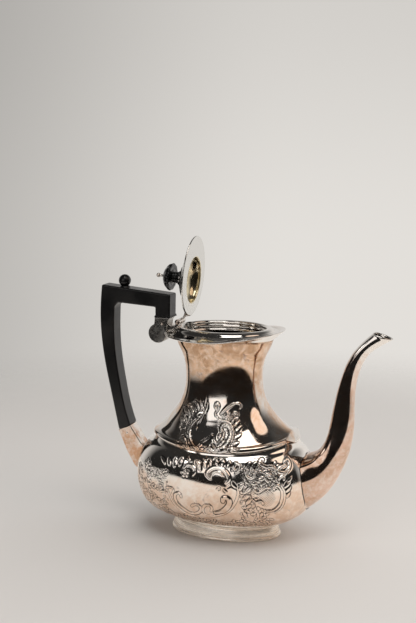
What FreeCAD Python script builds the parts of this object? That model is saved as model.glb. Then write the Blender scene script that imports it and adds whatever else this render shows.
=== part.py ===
"""Oval panelled coffee pot in plated metal with a black handle and a hinged lid.

Millimetres. +Z is up, +X points to the spout, -Y is the front panel. The origin is the
centre of the foot on the table. The lid is modelled closed and swung open at the end.
"""
import FreeCAD, Part
import math
import os

V = FreeCAD.Vector

# ---- driving dimensions ----------------------------------------------------------------
WALL = 1.0                 # sheet thickness of body, neck and spout

FOOT_LENGTH = 97.0         # foot at its bottom bead, along X
FOOT_WIDTH = 60.0          # the same, along Y
FOOT_HEIGHT = 12.8
FOOT_WALL = 1.8
BASE_PLATE = 1.2           # thickness of the soldered bottom
BASE_LENGTH = 95.0
BASE_WIDTH = 58.6

BELLY_LENGTH = 159.0       # widest part of the lower body, end to end
BELLY_WIDTH = 105.0
SHOULDER_Z = 84.0          # joint of lower body and neck
NECK_LENGTH = 66.0         # narrowest part of the neck
NECK_WIDTH = 50.0
NECK_TOP_Z = 168.0
MOUTH_SETBACK = 2.0        # neck and mouth sit this far towards the handle

RIM_LENGTH = 104.0         # flange, end to end
RIM_WIDTH = 70.0
RIM_Z = 171.0              # flange edge
RIM_LIFT = 6.2             # how much the flange rises over the spout
CREST_Z = 178.0            # top of the raised bead
SEAT_Z = 171.0             # ledge that the lid rests on
SEAT_WIDTH = 3.0

LID_LENGTH = 68.5
LID_WIDTH = 52.0
LID_THICK = 1.2
LID_CLEARANCE = 0.5        # all round, inside the bead
DOME_LENGTH = 39.0         # hollow of the dome, seen from inside
DOME_WIDTH = 32.0
DOME_SETBACK = 3.2         # dome centre, from the lid centre towards the hinge
DOME_HEIGHT = 10.0
OPEN_ANGLE = 85.0          # from closed to the stored, open pose

HINGE_X = -42.0
HINGE_Z = 180.2
KNUCKLE_R = 2.3
KNUCKLE_WIDTH = 5.6        # centre knuckle, on the lid
KNUCKLE_GAP = 0.15         # between neighbouring knuckles
OUTER_KNUCKLE = 4.5
HINGE_PIN_R = 1.0
PIN_CLEARANCE = 0.05       # radial, running fit

KNOB_R = 11.9
KNOB_HEIGHT = 14.8         # from the dome to the crown of the knob
KNOB_NECK_R = 4.4
KNOB_BORE_R = 1.3
SPINDLE_R = 1.2
FINIAL_R = 1.9
FINIAL_NECK = 4.4          # bare rod between knob and ball
NUT_R = 3.2
NUT_HEIGHT = 2.4
WASHER_R = 5.6
WASHER_THICK = 0.8

HANDLE_WIDTH = 15.0        # across, along Y
HANDLE_EDGE = 1.2          # bevel along the edges
SOCKET_WIDTH = 14.0
TENON_WIDTH = 7.0
TENON_THICK = 7.0
TENON_LENGTH = 9.0
TENON_CLEARANCE = 0.05
SOCKET_PIN_R = 1.1
BALL_X = -93.2             # thumb rest, along the arm
BALL_R = 5.3               # thumb rest on the handle
BALL_BASE_R = 4.6
BALL_BASE_H = 1.6

STRAINER_R = 1.5
STRAINER_PITCH = 6.0

LID_X = -MOUTH_SETBACK     # centre of the lid when it is closed
DOME_X = LID_X - DOME_SETBACK
LEAF_WIDTH = 20.0
LEAF_THICK = 1.3
LEAF_NOTCH = 1.0           # room round the leaf, in the bead
STRAP_WIDTH = 10.0

# ---- outlines --------------------------------------------------------------------------
FRONT_HALF_ANGLE = math.radians(65.0)
END_HALF_ANGLE = math.radians(25.0)

# Stations of the lower body: height, corner x, corner y, end x, front y, as shares of
# the belly's half length and half width.
LOWER_STATIONS = [
    (14.0, 0.535, 0.230, 0.592, 0.545),
    (15.8, 0.645, 0.305, 0.708, 0.655),
    (20.0, 0.740, 0.370, 0.812, 0.772),
    (28.0, 0.835, 0.425, 0.920, 0.895),
    (39.0, 0.882, 0.465, 0.982, 0.972),
    (51.0, 0.893, 0.476, 1.000, 1.000),
    (62.0, 0.876, 0.466, 0.980, 0.985),
    (71.0, 0.832, 0.428, 0.925, 0.940),
    (78.0, 0.772, 0.374, 0.852, 0.880),
    (81.0, 0.735, 0.345, 0.806, 0.850),
    (SHOULDER_Z, 0.725, 0.340, 0.792, 0.842),
]
# Stations of the neck, as shares of its half length and half width at the narrowest.
NECK_STATIONS = [
    (SHOULDER_Z, 1.775, 0.728, 1.925, 1.840, 0.0),
    (87.0, 1.785, 0.732, 1.935, 1.850, 0.0),
    (88.6, 1.740, 0.716, 1.890, 1.800, 0.0),
    (91.0, 1.610, 0.690, 1.785, 1.670, 0.1),
    (96.0, 1.415, 0.655, 1.600, 1.465, 0.35),
    (103.0, 1.215, 0.615, 1.385, 1.275, 0.65),
    (112.0, 1.030, 0.572, 1.180, 1.125, 0.9),
    (122.0, 0.925, 0.540, 1.055, 1.030, 1.0),
    (134.0, 0.885, 0.522, 1.005, 0.985, 1.0),
    (146.0, 0.905, 0.520, 1.025, 1.005, 1.0),
    (156.0, 0.995, 0.522, 1.115, 1.080, 1.0),
    (162.0, 1.090, 0.520, 1.210, 1.165, 1.0),
    (NECK_TOP_Z, 1.160, 0.515, 1.280, 1.220, 1.0),
]
# Spout stations: inner (upper) edge x, z; outer (lower) edge x, z; half width.
SPOUT_STATIONS = [
    (56.0, 78.5, 53.0, 15.5, 24.0),
    (69.0, 81.0, 71.0, 26.5, 22.5),
    (78.0, 83.2, 88.5, 42.0, 18.2),
    (83.2, 88.8, 99.8, 60.5, 14.6),
    (86.2, 97.0, 107.0, 79.5, 12.2),
    (88.2, 106.5, 110.0, 97.0, 10.6),
    (90.6, 117.5, 110.5, 113.0, 9.6),
    (93.8, 130.5, 110.6, 126.5, 8.7),
    (97.4, 142.5, 111.8, 138.5, 8.0),
    (101.8, 154.4, 114.6, 149.6, 7.5),
    (107.4, 164.4, 118.2, 157.6, 7.1),
    (114.2, 172.6, 123.6, 164.6, 6.7),
    (122.0, 179.0, 130.4, 169.8, 6.2),
    (134.0, 187.0, 141.0, 175.2, 4.6),
]


def spline_edge(points):
    """One smooth edge through the points."""
    curve = Part.BSplineCurve()
    curve.interpolate(points)
    return curve.toShape()


def panel_wire(z, xc, cx, cy, ex, fy):
    """Closed outline of four bowed panels that meet at corners (+-cx, +-cy)."""
    def front(angle, side):
        bow = math.cos(angle) - math.cos(FRONT_HALF_ANGLE)
        bow = bow / (1.0 - math.cos(FRONT_HALF_ANGLE))
        x = xc - side * cx * math.sin(angle) / math.sin(FRONT_HALF_ANGLE)
        return V(x, side * (cy + (fy - cy) * bow), z)

    def end(angle, side):
        bow = math.cos(angle) - math.cos(END_HALF_ANGLE)
        bow = bow / (1.0 - math.cos(END_HALF_ANGLE))
        y = side * cy * math.sin(angle) / math.sin(END_HALF_ANGLE)
        return V(xc + side * (cx + (ex - cx) * bow), y, z)

    edges = []
    for panel, half, side, count in ((front, FRONT_HALF_ANGLE, -1, 10), (end, END_HALF_ANGLE, 1, 6),
                                     (front, FRONT_HALF_ANGLE, 1, 10), (end, END_HALF_ANGLE, -1, 6)):
        steps = [half * (2.0 * i / count - 1.0) for i in range(count + 1)]
        edges.append(spline_edge([panel(a, side) for a in steps]))
    return Part.Wire(edges)


def lower_wires(inset):
    """Sections of the lower body, moved in by inset."""
    half_x, half_y = BELLY_LENGTH / 2.0, BELLY_WIDTH / 2.0
    wires = []
    for z, cx, cy, ex, fy in LOWER_STATIONS:
        wires.append(panel_wire(z, 0.0, cx * half_x - inset, cy * half_y - 0.6 * inset,
                                ex * half_x - inset, fy * half_y - inset))
    return wires


def neck_wires(inset):
    """Sections of the neck, moved in by inset."""
    half_x, half_y = NECK_LENGTH / 2.0, NECK_WIDTH / 2.0
    wires = []
    for z, cx, cy, ex, fy, back in NECK_STATIONS:
        wires.append(panel_wire(z, -back * MOUTH_SETBACK, cx * half_x - inset,
                                cy * half_y - 0.6 * inset, ex * half_x - inset, fy * half_y - inset))
    return wires


def loft(wires, ruled=False):
    """Solid through the wires."""
    return Part.makeLoft(wires, True, ruled)


def oval_wire(z, xc, half_x, half_y):
    """Ellipse at height z."""
    if half_x >= half_y:
        curve = Part.Ellipse(V(xc, 0, z), half_x, half_y)
        return Part.Wire([curve.toShape()])
    curve = Part.Ellipse(V(xc, half_y, z), V(xc + half_x, 0, z), V(xc, 0, z))
    return Part.Wire([curve.toShape()])


def oval_plate(z, xc, length, width, thick):
    """Flat oval plate."""
    face = Part.Face(oval_wire(z, xc, length / 2.0, width / 2.0))
    return face.extrude(V(0, 0, thick))


def oval_ring(xc, half_x, half_y, profile, lift=None):
    """Ring whose closed profile (offset from the oval, z) is carried round the oval."""
    sections = []
    count = 32
    for i in range(count):
        angle = 2.0 * math.pi * (i + 0.5) / count
        nx, ny = math.cos(angle) / half_x, math.sin(angle) / half_y
        size = math.hypot(nx, ny)
        nx, ny = nx / size, ny / size
        rise = lift(angle) if lift else 0.0
        points = []
        for out, z, share in profile:
            points.append(V(xc + half_x * math.cos(angle) + out * nx,
                            half_y * math.sin(angle) + out * ny, z + share * rise))
        sections.append(Part.makePolygon(points + [points[0]]))
    return Part.makeLoft(sections, True, False, True)


def slab(points, half_width, closed_curves=None):
    """Flat outline in the XZ plane, given as edges or points, extruded to both sides."""
    edges = closed_curves
    if edges is None:
        corners = [V(x, -half_width, z) for x, z in points]
        edges = Part.makePolygon(corners + [corners[0]]).Edges
    face = Part.Face(Part.Wire(edges))
    return face.extrude(V(0, 2.0 * half_width, 0))


def rod(x, z, radius, y_low, y_high):
    """Cylinder along Y."""
    return Part.makeCylinder(radius, y_high - y_low, V(x, y_low, z), V(0, 1, 0))


def turned(points, x, z):
    """Solid of revolution about the vertical axis at x, points are (radius, height)."""
    corners = [V(x + r, 0, z + h) for r, h in points]
    face = Part.Face(Part.makePolygon(corners + [corners[0]]))
    return face.revolve(V(x, 0, z), V(0, 0, 1), 360)


def swing_open(shape):
    """Turn a lid piece from its closed place to the open pose."""
    moved = shape.copy()
    moved.rotate(V(HINGE_X, 0, HINGE_Z), V(0, 1, 0), -OPEN_ANGLE)
    return moved


# ---- foot and body ---------------------------------------------------------------------
def foot_ring():
    """Oval band with a bead at the table and a step under the body."""
    w = FOOT_WALL
    top = FOOT_HEIGHT
    profile = [(-w, -1.0, 0), (-0.5, -1.0, 0), (-0.5, 0.0, 0), (0.0, 0.6, 0), (0.0, 1.7, 0), (-0.6, 2.4, 0),
               (-1.3, 6.0, 0), (-2.3, top - 3.0, 0), (-3.2, top - 2.2, 0), (-2.2, top - 1.3, 0),
               (-2.2, top, 0), (-w - 3.6, top, 0), (-w - 1.8, 4.0, 0)]
    ring = oval_ring(0.0, FOOT_LENGTH / 2.0, FOOT_WIDTH / 2.0, profile)
    return ring.cut(Part.makeBox(2.0 * FOOT_LENGTH, 2.0 * FOOT_WIDTH, 10.0,
                                 V(-FOOT_LENGTH, -FOOT_WIDTH, -10.0)))


def base_plate():
    """Bottom soldered between foot and body."""
    return oval_plate(FOOT_HEIGHT, 0.0, BASE_LENGTH, BASE_WIDTH, BASE_PLATE)


def strainer_holes():
    """Pouring holes in the end panel, behind the spout."""
    holes = []
    for row in range(5):
        for column in range(-1, 2):
            y = STRAINER_PITCH * (column + 0.5 * (row % 2) - 0.25)
            z = 41.0 + STRAINER_PITCH * row
            holes.append(Part.makeCylinder(STRAINER_R, 60.0, V(40.0, y, z), V(1, 0, 0)))
    return Part.makeCompound(holes)


def body_lower(outer):
    """Pressed lower body, open at its top and bottom."""
    shell = outer.cut(loft(lower_wires(WALL)))
    return shell.cut(strainer_holes())


def body_neck(outer):
    """Pressed neck, open at its top and bottom."""
    return outer.cut(loft(neck_wires(WALL)))


# ---- rim -------------------------------------------------------------------------------
def spout_side_lift(angle):
    """Height that the flange gains towards the spout."""
    return RIM_LIFT * max(0.0, math.cos(angle)) ** 1.3


def rim_mount():
    """Moulded mount: sloping flange and raised bead round the mouth."""
    seat_x, seat_y = recess_half_sizes()
    edge = RIM_LENGTH / 2.0 - seat_x
    profile = [(1.2, NECK_TOP_Z, 0), (7.0, NECK_TOP_Z + 0.4, 0.15), (edge - 2.5, RIM_Z - 1.4, 0.8),
               (edge, RIM_Z - 0.6, 1), (edge, RIM_Z + 0.4, 1), (edge - 2.0, RIM_Z + 0.9, 0.8),
               (11.0, RIM_Z + 2.4, 0.35), (8.2, RIM_Z + 4.6, 0.1), (6.8, CREST_Z - 2.6, 0),
               (4.8, CREST_Z - 0.5, 0), (3.0, CREST_Z, 0), (1.3, CREST_Z - 0.6, 0),
               (1.2, SEAT_Z, 0)]
    ring = oval_ring(-MOUTH_SETBACK, seat_x, seat_y, profile, spout_side_lift)
    return ring.cut(leaf_notch())


def leaf_notch():
    """Gap in the bead that the hinge leaf drops into."""
    start = LID_X - LID_LENGTH / 2.0 - 3.4 - 0.4
    return Part.makeBox(20.0, LEAF_WIDTH + 2.0 * LEAF_NOTCH, 20.0,
                        V(start, -LEAF_WIDTH / 2.0 - LEAF_NOTCH, SEAT_Z - 0.4))


def recess_half_sizes():
    """Half sizes of the recess that the lid drops into."""
    return LID_LENGTH / 2.0 + LID_CLEARANCE, LID_WIDTH / 2.0 + LID_CLEARANCE


def lid_seat():
    """Thin ring soldered inside the rim, with the ledge that the lid rests on."""
    seat_x, seat_y = recess_half_sizes()
    profile = [(-SEAT_WIDTH, SEAT_Z - 1.2, 0), (-SEAT_WIDTH, SEAT_Z, 0), (0.0, SEAT_Z, 0),
               (0.0, SEAT_Z + 4.0, 0), (1.2, SEAT_Z + 4.0, 0), (1.2, SEAT_Z - 1.2, 0)]
    ring = oval_ring(-MOUTH_SETBACK, seat_x, seat_y, profile)
    return ring.cut(leaf_notch())


# ---- spout -----------------------------------------------------------------------------
def spout_wire(station, inset):
    """D section: a slightly bowed inner face with creased edges and a round outer side."""
    ix, iz, ox, oz, half = station
    depth = math.hypot(ox - ix, oz - iz)
    dx, dz = (ox - ix) / depth, (oz - iz) / depth
    ix, iz = ix + dx * inset, iz + dz * inset
    depth, half = depth - 2.0 * inset, half - inset

    def at(along, across):
        return V(ix + dx * depth * along, half * across, iz + dz * depth * along)

    corner = math.radians(122.0)
    start, rim = 0.5 + 0.5 * math.cos(corner), math.sin(corner)
    face = [at(start * (0.45 + 0.55 * t * t), rim * t) for t in (1.0, 0.66, 0.33, 0, -0.33, -0.66, -1.0)]
    steps = [corner * (i / 7.0 - 1.0) for i in range(15)]
    back = [at(0.5 + 0.5 * math.cos(a), math.sin(a)) for a in steps]
    return Part.Wire([spline_edge(face), spline_edge(back)])


def spout(body_outer):
    """Swan-neck spout, open at the mouth and at the body."""
    outer = loft([spout_wire(s, 0.0) for s in SPOUT_STATIONS])
    inner = loft([spout_wire(s, WALL) for s in SPOUT_STATIONS])
    tube = outer.cut(inner)
    mouth_start = V(122.6, -20, 181.2)
    mouth = [mouth_start, V(140.6, -20, 176.2), V(143.0, -20, 172.0), V(175.0, -20, 172.0),
             V(175.0, -20, 215.0), V(115.0, -20, 215.0)]
    waste = Part.Face(Part.makePolygon(mouth + [mouth_start])).extrude(V(0, 40, 0))
    return tube.cut(waste).cut(body_outer)


# ---- handle and sockets ----------------------------------------------------------------
GRIP_OUTER = [(-112.0, 209.2), (-113.7, 188.6), (-113.2, 165.7), (-110.2, 142.0),
              (-104.8, 115.5), (-97.6, 81.6)]
GRIP_INNER = [(-86.6, 86.2), (-91.0, 100.0), (-95.6, 122.0), (-99.4, 146.0), (-100.9, 170.0),
              (-100.3, 190.6)]
ARM_INNER = (-97.0, 194.2)
ARM_TOP_END = (-48.4, 203.4)
LEG_X = (-62.2, -48.8)
LEG_Z = 183.2
ARM_UNDER = (-62.2, 192.0)


def handle_outline(half_width):
    """Edges of the handle's side view."""
    def at(p):
        return V(p[0], -half_width, p[1])
    outer = spline_edge([at(p) for p in GRIP_OUTER])
    inner = spline_edge([at(p) for p in GRIP_INNER])
    corners = [ARM_INNER, ARM_UNDER, (LEG_X[0], LEG_Z), (LEG_X[1], LEG_Z), ARM_TOP_END, GRIP_OUTER[0]]
    edges = [outer, Part.makeLine(at(GRIP_OUTER[-1]), at(GRIP_INNER[0])), inner,
             Part.makeLine(at(GRIP_INNER[-1]), at(corners[0]))]
    for a, b in zip(corners[:-1], corners[1:]):
        edges.append(Part.makeLine(at(a), at(b)))
    return edges


def lower_axis():
    """Foot point of the grip and the direction in which it enters its socket."""
    foot_x = (GRIP_OUTER[-1][0] + GRIP_INNER[0][0]) / 2.0
    foot_z = (GRIP_OUTER[-1][1] + GRIP_INNER[0][1]) / 2.0
    across = V(GRIP_INNER[0][0] - GRIP_OUTER[-1][0], 0, GRIP_INNER[0][1] - GRIP_OUTER[-1][1])
    across.normalize()
    return foot_x, foot_z, V(across.z, 0, -across.x)


def tenon(x, z, direction, grow):
    """Square peg at a handle end, grown by the clearance for its pocket."""
    half = TENON_WIDTH / 2.0 + grow
    thick = TENON_THICK / 2.0 + grow
    side = V(direction.z, 0, -direction.x)
    start = V(x, -half, z) - direction * 0.5
    corners = [start + side * thick, start - side * thick]
    length = TENON_LENGTH + 0.5 + grow
    corners += [corners[1] + direction * length, corners[0] + direction * length]
    return Part.Face(Part.makePolygon(corners + [corners[0]])).extrude(V(0, 2.0 * half, 0))


def upper_tenon(grow):
    """Peg of the short leg."""
    return tenon((LEG_X[0] + LEG_X[1]) / 2.0 - 0.8, LEG_Z, V(0, 0, -1), grow)


def lower_tenon(grow):
    """Peg of the grip."""
    x, z, direction = lower_axis()
    return tenon(x, z, direction, grow)


def handle():
    """Black squared handle: arm, grip and short leg, with bead mouldings and tenons."""
    half = HANDLE_WIDTH / 2.0
    bar = slab(None, half, handle_outline(half))
    bar = bar.makeChamfer(HANDLE_EDGE, [e for e in bar.Edges if e.BoundBox.YLength < 0.01])
    bead = Part.makeBox(LEG_X[1] - LEG_X[0] + 1.4, HANDLE_WIDTH + 0.8, 1.8,
                        V(LEG_X[0] - 0.7, -half - 0.4, LEG_Z))
    bar = bar.fuse(bead.makeFillet(0.7, bead.Edges))
    bar = bar.fuse(upper_tenon(0.0)).fuse(lower_tenon(0.0))
    return bar.cut(pin_bores(SOCKET_PIN_R)).removeSplitter()


def upper_pin_place():
    """Centre of the pin through the upper socket."""
    return (LEG_X[0] + LEG_X[1]) / 2.0 - 0.8, LEG_Z - 0.6 * TENON_LENGTH


def lower_pin_place():
    """Centre of the pin through the lower socket."""
    x, z, direction = lower_axis()
    return x + direction.x * 0.6 * TENON_LENGTH, z + direction.z * 0.6 * TENON_LENGTH


def pin_bores(radius):
    """Both socket pin bores as one tool."""
    width = SOCKET_WIDTH + 4.0
    bores = []
    for x, z in (upper_pin_place(), lower_pin_place()):
        bores.append(rod(x, z, radius, -width / 2.0, width / 2.0))
    return Part.makeCompound(bores)


def socket_pin(place):
    """Plain pin, flush with both sides of its socket."""
    return rod(place[0], place[1], SOCKET_PIN_R, -SOCKET_WIDTH / 2.0, SOCKET_WIDTH / 2.0)


def thumb_rest():
    """Ball on a flared base, on top of the handle's arm."""
    x = BALL_X
    slope = (ARM_TOP_END[1] - GRIP_OUTER[0][1]) / (ARM_TOP_END[0] - GRIP_OUTER[0][0])
    z = GRIP_OUTER[0][1] + slope * (x - GRIP_OUTER[0][0])
    base = Part.makeCone(BALL_BASE_R, BALL_BASE_R * 0.6, BALL_BASE_H + 1.2, V(x, 0, z - 1.2))
    ball = Part.makeSphere(BALL_R, V(x, 0, z + BALL_BASE_H + BALL_R - 1.6))
    return base.fuse(ball), z


SCROLL_X = -60.4
SCROLL_Z = 169.4
SCROLL_R = 8.3
SOCKET_RIGHT = -51.6


def upper_socket():
    """Square socket that ends in a round scroll."""
    half = SOCKET_WIDTH / 2.0
    left = LEG_X[0] - 0.6
    block = slab([(left, LEG_Z), (left, 174.0), (SCROLL_X, SCROLL_Z), (SOCKET_RIGHT - 2.0, 166.0),
                  (SOCKET_RIGHT, 171.5), (SOCKET_RIGHT, 180.0), (LEG_X[1] - 0.6, LEG_Z)], half)
    scroll = rod(SCROLL_X, SCROLL_Z, SCROLL_R, -half, half)
    eye = rod(SCROLL_X - 0.6, SCROLL_Z - 0.4, 2.6, -half - 0.7, half + 0.7)
    body = block.fuse(scroll).fuse(eye)
    body = body.cut(upper_tenon(TENON_CLEARANCE))
    return body.cut(pin_bores(SOCKET_PIN_R)).removeSplitter()


def lower_socket(body_outer):
    """Tapered square socket, soldered to the lower body."""
    half = SOCKET_WIDTH / 2.0
    ax, az = GRIP_OUTER[-1]
    bx, bz = GRIP_INNER[0]
    ledge = 0.5 / math.hypot(bx - ax, bz - az)
    step_x, step_z = (bx - ax) * ledge, (bz - az) * ledge
    block = slab([(ax - step_x, az - step_z), (bx + step_x, bz + step_z), (-76.0, 69.0),
                  (-70.0, 60.0), (-72.0, 46.0), (-82.0, 48.5)], half)
    body = block.cut(body_outer).cut(lower_tenon(TENON_CLEARANCE))
    return body.cut(pin_bores(SOCKET_PIN_R))


def upper_strap(rim, socket):
    """Short moulded strap from the upper socket, over the flange, to the bead."""
    floor = RIM_Z - 0.3
    left = SOCKET_RIGHT - 0.8
    bead_x = HINGE_X + 1.2
    block = slab([(left, CREST_Z), (-48.0, CREST_Z - 1.6), (HINGE_X - 1.5, CREST_Z - 1.2),
                  (bead_x, CREST_Z - 2.0), (bead_x, RIM_Z + 1.5), (HINGE_X - 6.0, floor), (left, floor)],
                 STRAP_WIDTH / 2.0)
    return block.cut(rim).cut(socket)


# ---- hinge -----------------------------------------------------------------------------
def hinge_knuckles(rim, strap):
    """Two knuckles on a thin plate that is soldered to the bead and the strap."""
    inner_y = KNUCKLE_WIDTH / 2.0 + KNUCKLE_GAP
    outer_y = inner_y + OUTER_KNUCKLE
    plate_top = HINGE_Z - KNUCKLE_R - 0.3
    block = Part.makeBox(3.6, 2.0 * outer_y, 2.0, V(HINGE_X - 3.0, -outer_y, plate_top - 2.0))
    for low in (-outer_y, inner_y):
        barrel = rod(HINGE_X, HINGE_Z, KNUCKLE_R, low, low + OUTER_KNUCKLE)
        leg = Part.makeBox(3.4, OUTER_KNUCKLE, 5.5, V(HINGE_X - 2.0, low, HINGE_Z - 5.5))
        block = block.fuse(barrel).fuse(leg)
    block = block.cut(rod(HINGE_X, HINGE_Z, HINGE_PIN_R, -20.0, 20.0))
    return block.cut(rim).cut(strap).removeSplitter()


def hinge_pin():
    """Pin, tight in the outer knuckles and free in the lid's knuckle."""
    reach = KNUCKLE_WIDTH / 2.0 + KNUCKLE_GAP + OUTER_KNUCKLE
    return rod(HINGE_X, HINGE_Z, HINGE_PIN_R, -reach - 0.4, reach + 0.4)


def leaf_steps():
    """Underside steps of the leaf: start x, end x, underside z, half width."""
    edge = LID_X - LID_LENGTH / 2.0
    return ((edge - 0.3, edge + 9.0, SEAT_Z, LEAF_WIDTH / 2.0),
            (edge - 1.9, edge - 0.3, SEAT_Z + 1.6, LEAF_WIDTH / 2.0 - 1.0),
            (edge - 3.4, edge - 1.9, SEAT_Z + 3.6, LEAF_WIDTH / 2.0 - 2.5),
            (HINGE_X, edge - 3.4, HINGE_Z - KNUCKLE_R, KNUCKLE_WIDTH / 2.0))


def lid_leaf():
    """Centre knuckle and stepped leaf that carries the lid over the bead."""
    half = KNUCKLE_WIDTH / 2.0
    leaf = rod(HINGE_X, HINGE_Z, KNUCKLE_R, -half, half)
    for start, end, low, half_width in leaf_steps():
        thick = LEAF_THICK + (0.0 if low > SEAT_Z else LID_THICK)
        reach = min(HINGE_Z + 1.4, low + thick + 2.2 * (low > SEAT_Z))
        leaf = leaf.fuse(Part.makeBox(end - start, 2.0 * half_width, reach - low,
                                      V(start, -half_width, low)))
    leaf = leaf.cut(rod(HINGE_X, HINGE_Z, HINGE_PIN_R + PIN_CLEARANCE, -20.0, 20.0))
    return leaf.removeSplitter()


# ---- lid and knob ----------------------------------------------------------------------


def dome_solid(grow, z):
    """Oval dome, grown all round for the outer skin."""
    shares = ((0.0, 1.0), (0.35, 0.965), (0.62, 0.86), (0.82, 0.68), (0.93, 0.47), (1.0, 0.30))
    wires = []
    for up, wide in shares:
        wires.append(oval_wire(z + up * (DOME_HEIGHT + grow), DOME_X,
                               wide * DOME_LENGTH / 2.0 + grow, wide * DOME_WIDTH / 2.0 + grow))
    return loft(wires)


def lid():
    """Flat oval flange with a raised edge and a hollow dome."""
    plate = oval_plate(SEAT_Z, LID_X, LID_LENGTH, LID_WIDTH, LID_THICK)
    shell = plate.fuse(dome_solid(WALL, SEAT_Z)).cut(dome_solid(0.0, SEAT_Z))
    bore = Part.makeCylinder(KNOB_BORE_R, 40.0, V(DOME_X, 0, SEAT_Z))
    return shell.cut(bore)


def dome_top():
    """Outer height of the dome."""
    return SEAT_Z + DOME_HEIGHT + WALL


def knob():
    """Black turned knob: flared foot, ribbed neck and umbrella crown."""
    r, h, n = KNOB_R, KNOB_HEIGHT, KNOB_NECK_R
    points = [(KNOB_BORE_R, 0.0), (n + 1.6, 0.0), (n + 1.4, 0.9), (n, 1.8), (n + 0.7, 2.7),
              (n, 3.6), (n + 0.6, 4.5), (n - 0.1, 5.4), (n + 0.4, 6.2), (n, 7.0), (n + 2.6, 7.6),
              (r - 2.4, 7.2), (r - 0.3, 7.4), (r, 8.4), (r - 0.5, 10.2), (r - 2.4, h - 3.0),
              (r - 5.2, h - 1.1), (r - 8.6, h - 0.2), (KNOB_BORE_R, h)]
    return turned(points, DOME_X, dome_top() + WASHER_THICK)


def flat_washer(z, radius):
    """Plain washer on the knob spindle."""
    disc = Part.makeCylinder(radius, WASHER_THICK, V(DOME_X, 0, z))
    return disc.cut(Part.makeCylinder(KNOB_BORE_R, 10.0, V(DOME_X, 0, z - 5.0)))


def knob_spindle():
    """Threaded rod through knob and dome, with a small ball finial."""
    low = SEAT_Z + DOME_HEIGHT - WASHER_THICK - NUT_HEIGHT - 1.2
    top = dome_top() + WASHER_THICK + KNOB_HEIGHT
    shaft = Part.makeCylinder(SPINDLE_R, top + FINIAL_NECK - low, V(DOME_X, 0, low))
    collar = Part.makeCylinder(SPINDLE_R + 0.9, 0.9, V(DOME_X, 0, top))
    ball = Part.makeSphere(FINIAL_R, V(DOME_X, 0, top + FINIAL_NECK + FINIAL_R * 0.6))
    return shaft.fuse(collar).fuse(ball)


def knob_nut():
    """Hexagonal nut inside the dome."""
    z = SEAT_Z + DOME_HEIGHT - WASHER_THICK - NUT_HEIGHT
    corners = []
    for i in range(7):
        angle = math.radians(60.0 * i)
        corners.append(V(DOME_X + NUT_R * math.cos(angle), NUT_R * math.sin(angle), z))
    block = Part.Face(Part.makePolygon(corners)).extrude(V(0, 0, NUT_HEIGHT))
    return block.cut(Part.makeCylinder(SPINDLE_R, 20.0, V(DOME_X, 0, z - 5.0)))


def build():
    """All pieces by node name, with the lid open."""
    lower_outer = loft(lower_wires(0.0))
    neck_outer = loft(neck_wires(0.0))
    socket = upper_socket()
    rim = rim_mount().cut(socket)
    strap = upper_strap(rim, socket)
    rest, arm_z = thumb_rest()
    bar = handle()
    return {
        "foot_ring": foot_ring(),
        "base_plate": base_plate(),
        "body_lower": body_lower(lower_outer),
        "body_neck": body_neck(neck_outer),
        "rim_mount": rim.cut(lid_seat()),
        "lid_seat": lid_seat(),
        "spout": spout(lower_outer),
        "upper_socket": socket,
        "upper_strap": strap,
        "lower_socket": lower_socket(lower_outer),
        "handle": bar,
        "thumb_rest": rest.cut(bar),
        "upper_socket_pin": socket_pin(upper_pin_place()),
        "lower_socket_pin": socket_pin(lower_pin_place()),
        "hinge_knuckles": hinge_knuckles(rim, strap),
        "hinge_pin": hinge_pin(),
        "lid": swing_open(lid()),
        "lid_leaf": swing_open(lid_leaf().cut(lid())),
        "knob": swing_open(knob()),
        "knob_washer": swing_open(flat_washer(dome_top(), WASHER_R)),
        "knob_inner_washer": swing_open(flat_washer(SEAT_Z + DOME_HEIGHT - WASHER_THICK, NUT_R + 0.6)),
        "knob_nut": swing_open(knob_nut()),
        "knob_spindle": swing_open(knob_spindle()),
    }


def main():
    """Write one STEP file for each piece."""
    os.makedirs("parts", exist_ok=True)
    for name, shape in build().items():
        shape.exportStep("parts/" + name + ".step")
        solids = len(shape.Solids)
        print(f"{name}: {solids} solid(s), valid {shape.isValid()}, {shape.Volume / 1000.0:.2f} cm3")


main()
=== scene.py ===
"""Visual model of an oval panelled coffee pot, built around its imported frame.

Lengths in the classes are millimetres in the row frame: +Z up, +X to the spout, -Y to the
front panel, origin under the middle of the foot. Meshes are written in metres.
"""
import logging
import math
from dataclasses import dataclass
from enum import Enum

import bpy
import numpy as np
from mathutils import Matrix, Vector

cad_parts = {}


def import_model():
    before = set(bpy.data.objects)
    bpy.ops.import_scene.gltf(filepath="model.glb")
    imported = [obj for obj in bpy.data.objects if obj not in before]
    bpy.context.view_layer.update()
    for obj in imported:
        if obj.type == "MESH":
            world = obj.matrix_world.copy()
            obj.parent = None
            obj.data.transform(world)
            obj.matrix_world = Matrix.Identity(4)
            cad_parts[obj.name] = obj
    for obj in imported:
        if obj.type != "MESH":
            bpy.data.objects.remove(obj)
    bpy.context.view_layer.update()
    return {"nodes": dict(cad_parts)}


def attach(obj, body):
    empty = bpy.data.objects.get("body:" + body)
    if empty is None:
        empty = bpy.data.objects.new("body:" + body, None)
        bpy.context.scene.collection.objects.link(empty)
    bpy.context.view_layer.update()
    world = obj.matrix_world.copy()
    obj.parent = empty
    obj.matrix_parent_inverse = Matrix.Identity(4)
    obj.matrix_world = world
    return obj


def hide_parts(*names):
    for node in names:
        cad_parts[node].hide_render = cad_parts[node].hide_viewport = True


LOG = logging.getLogger("coffee_pot")
MM = 0.001
TAU = 2.0 * math.pi
Points = np.ndarray


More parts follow.
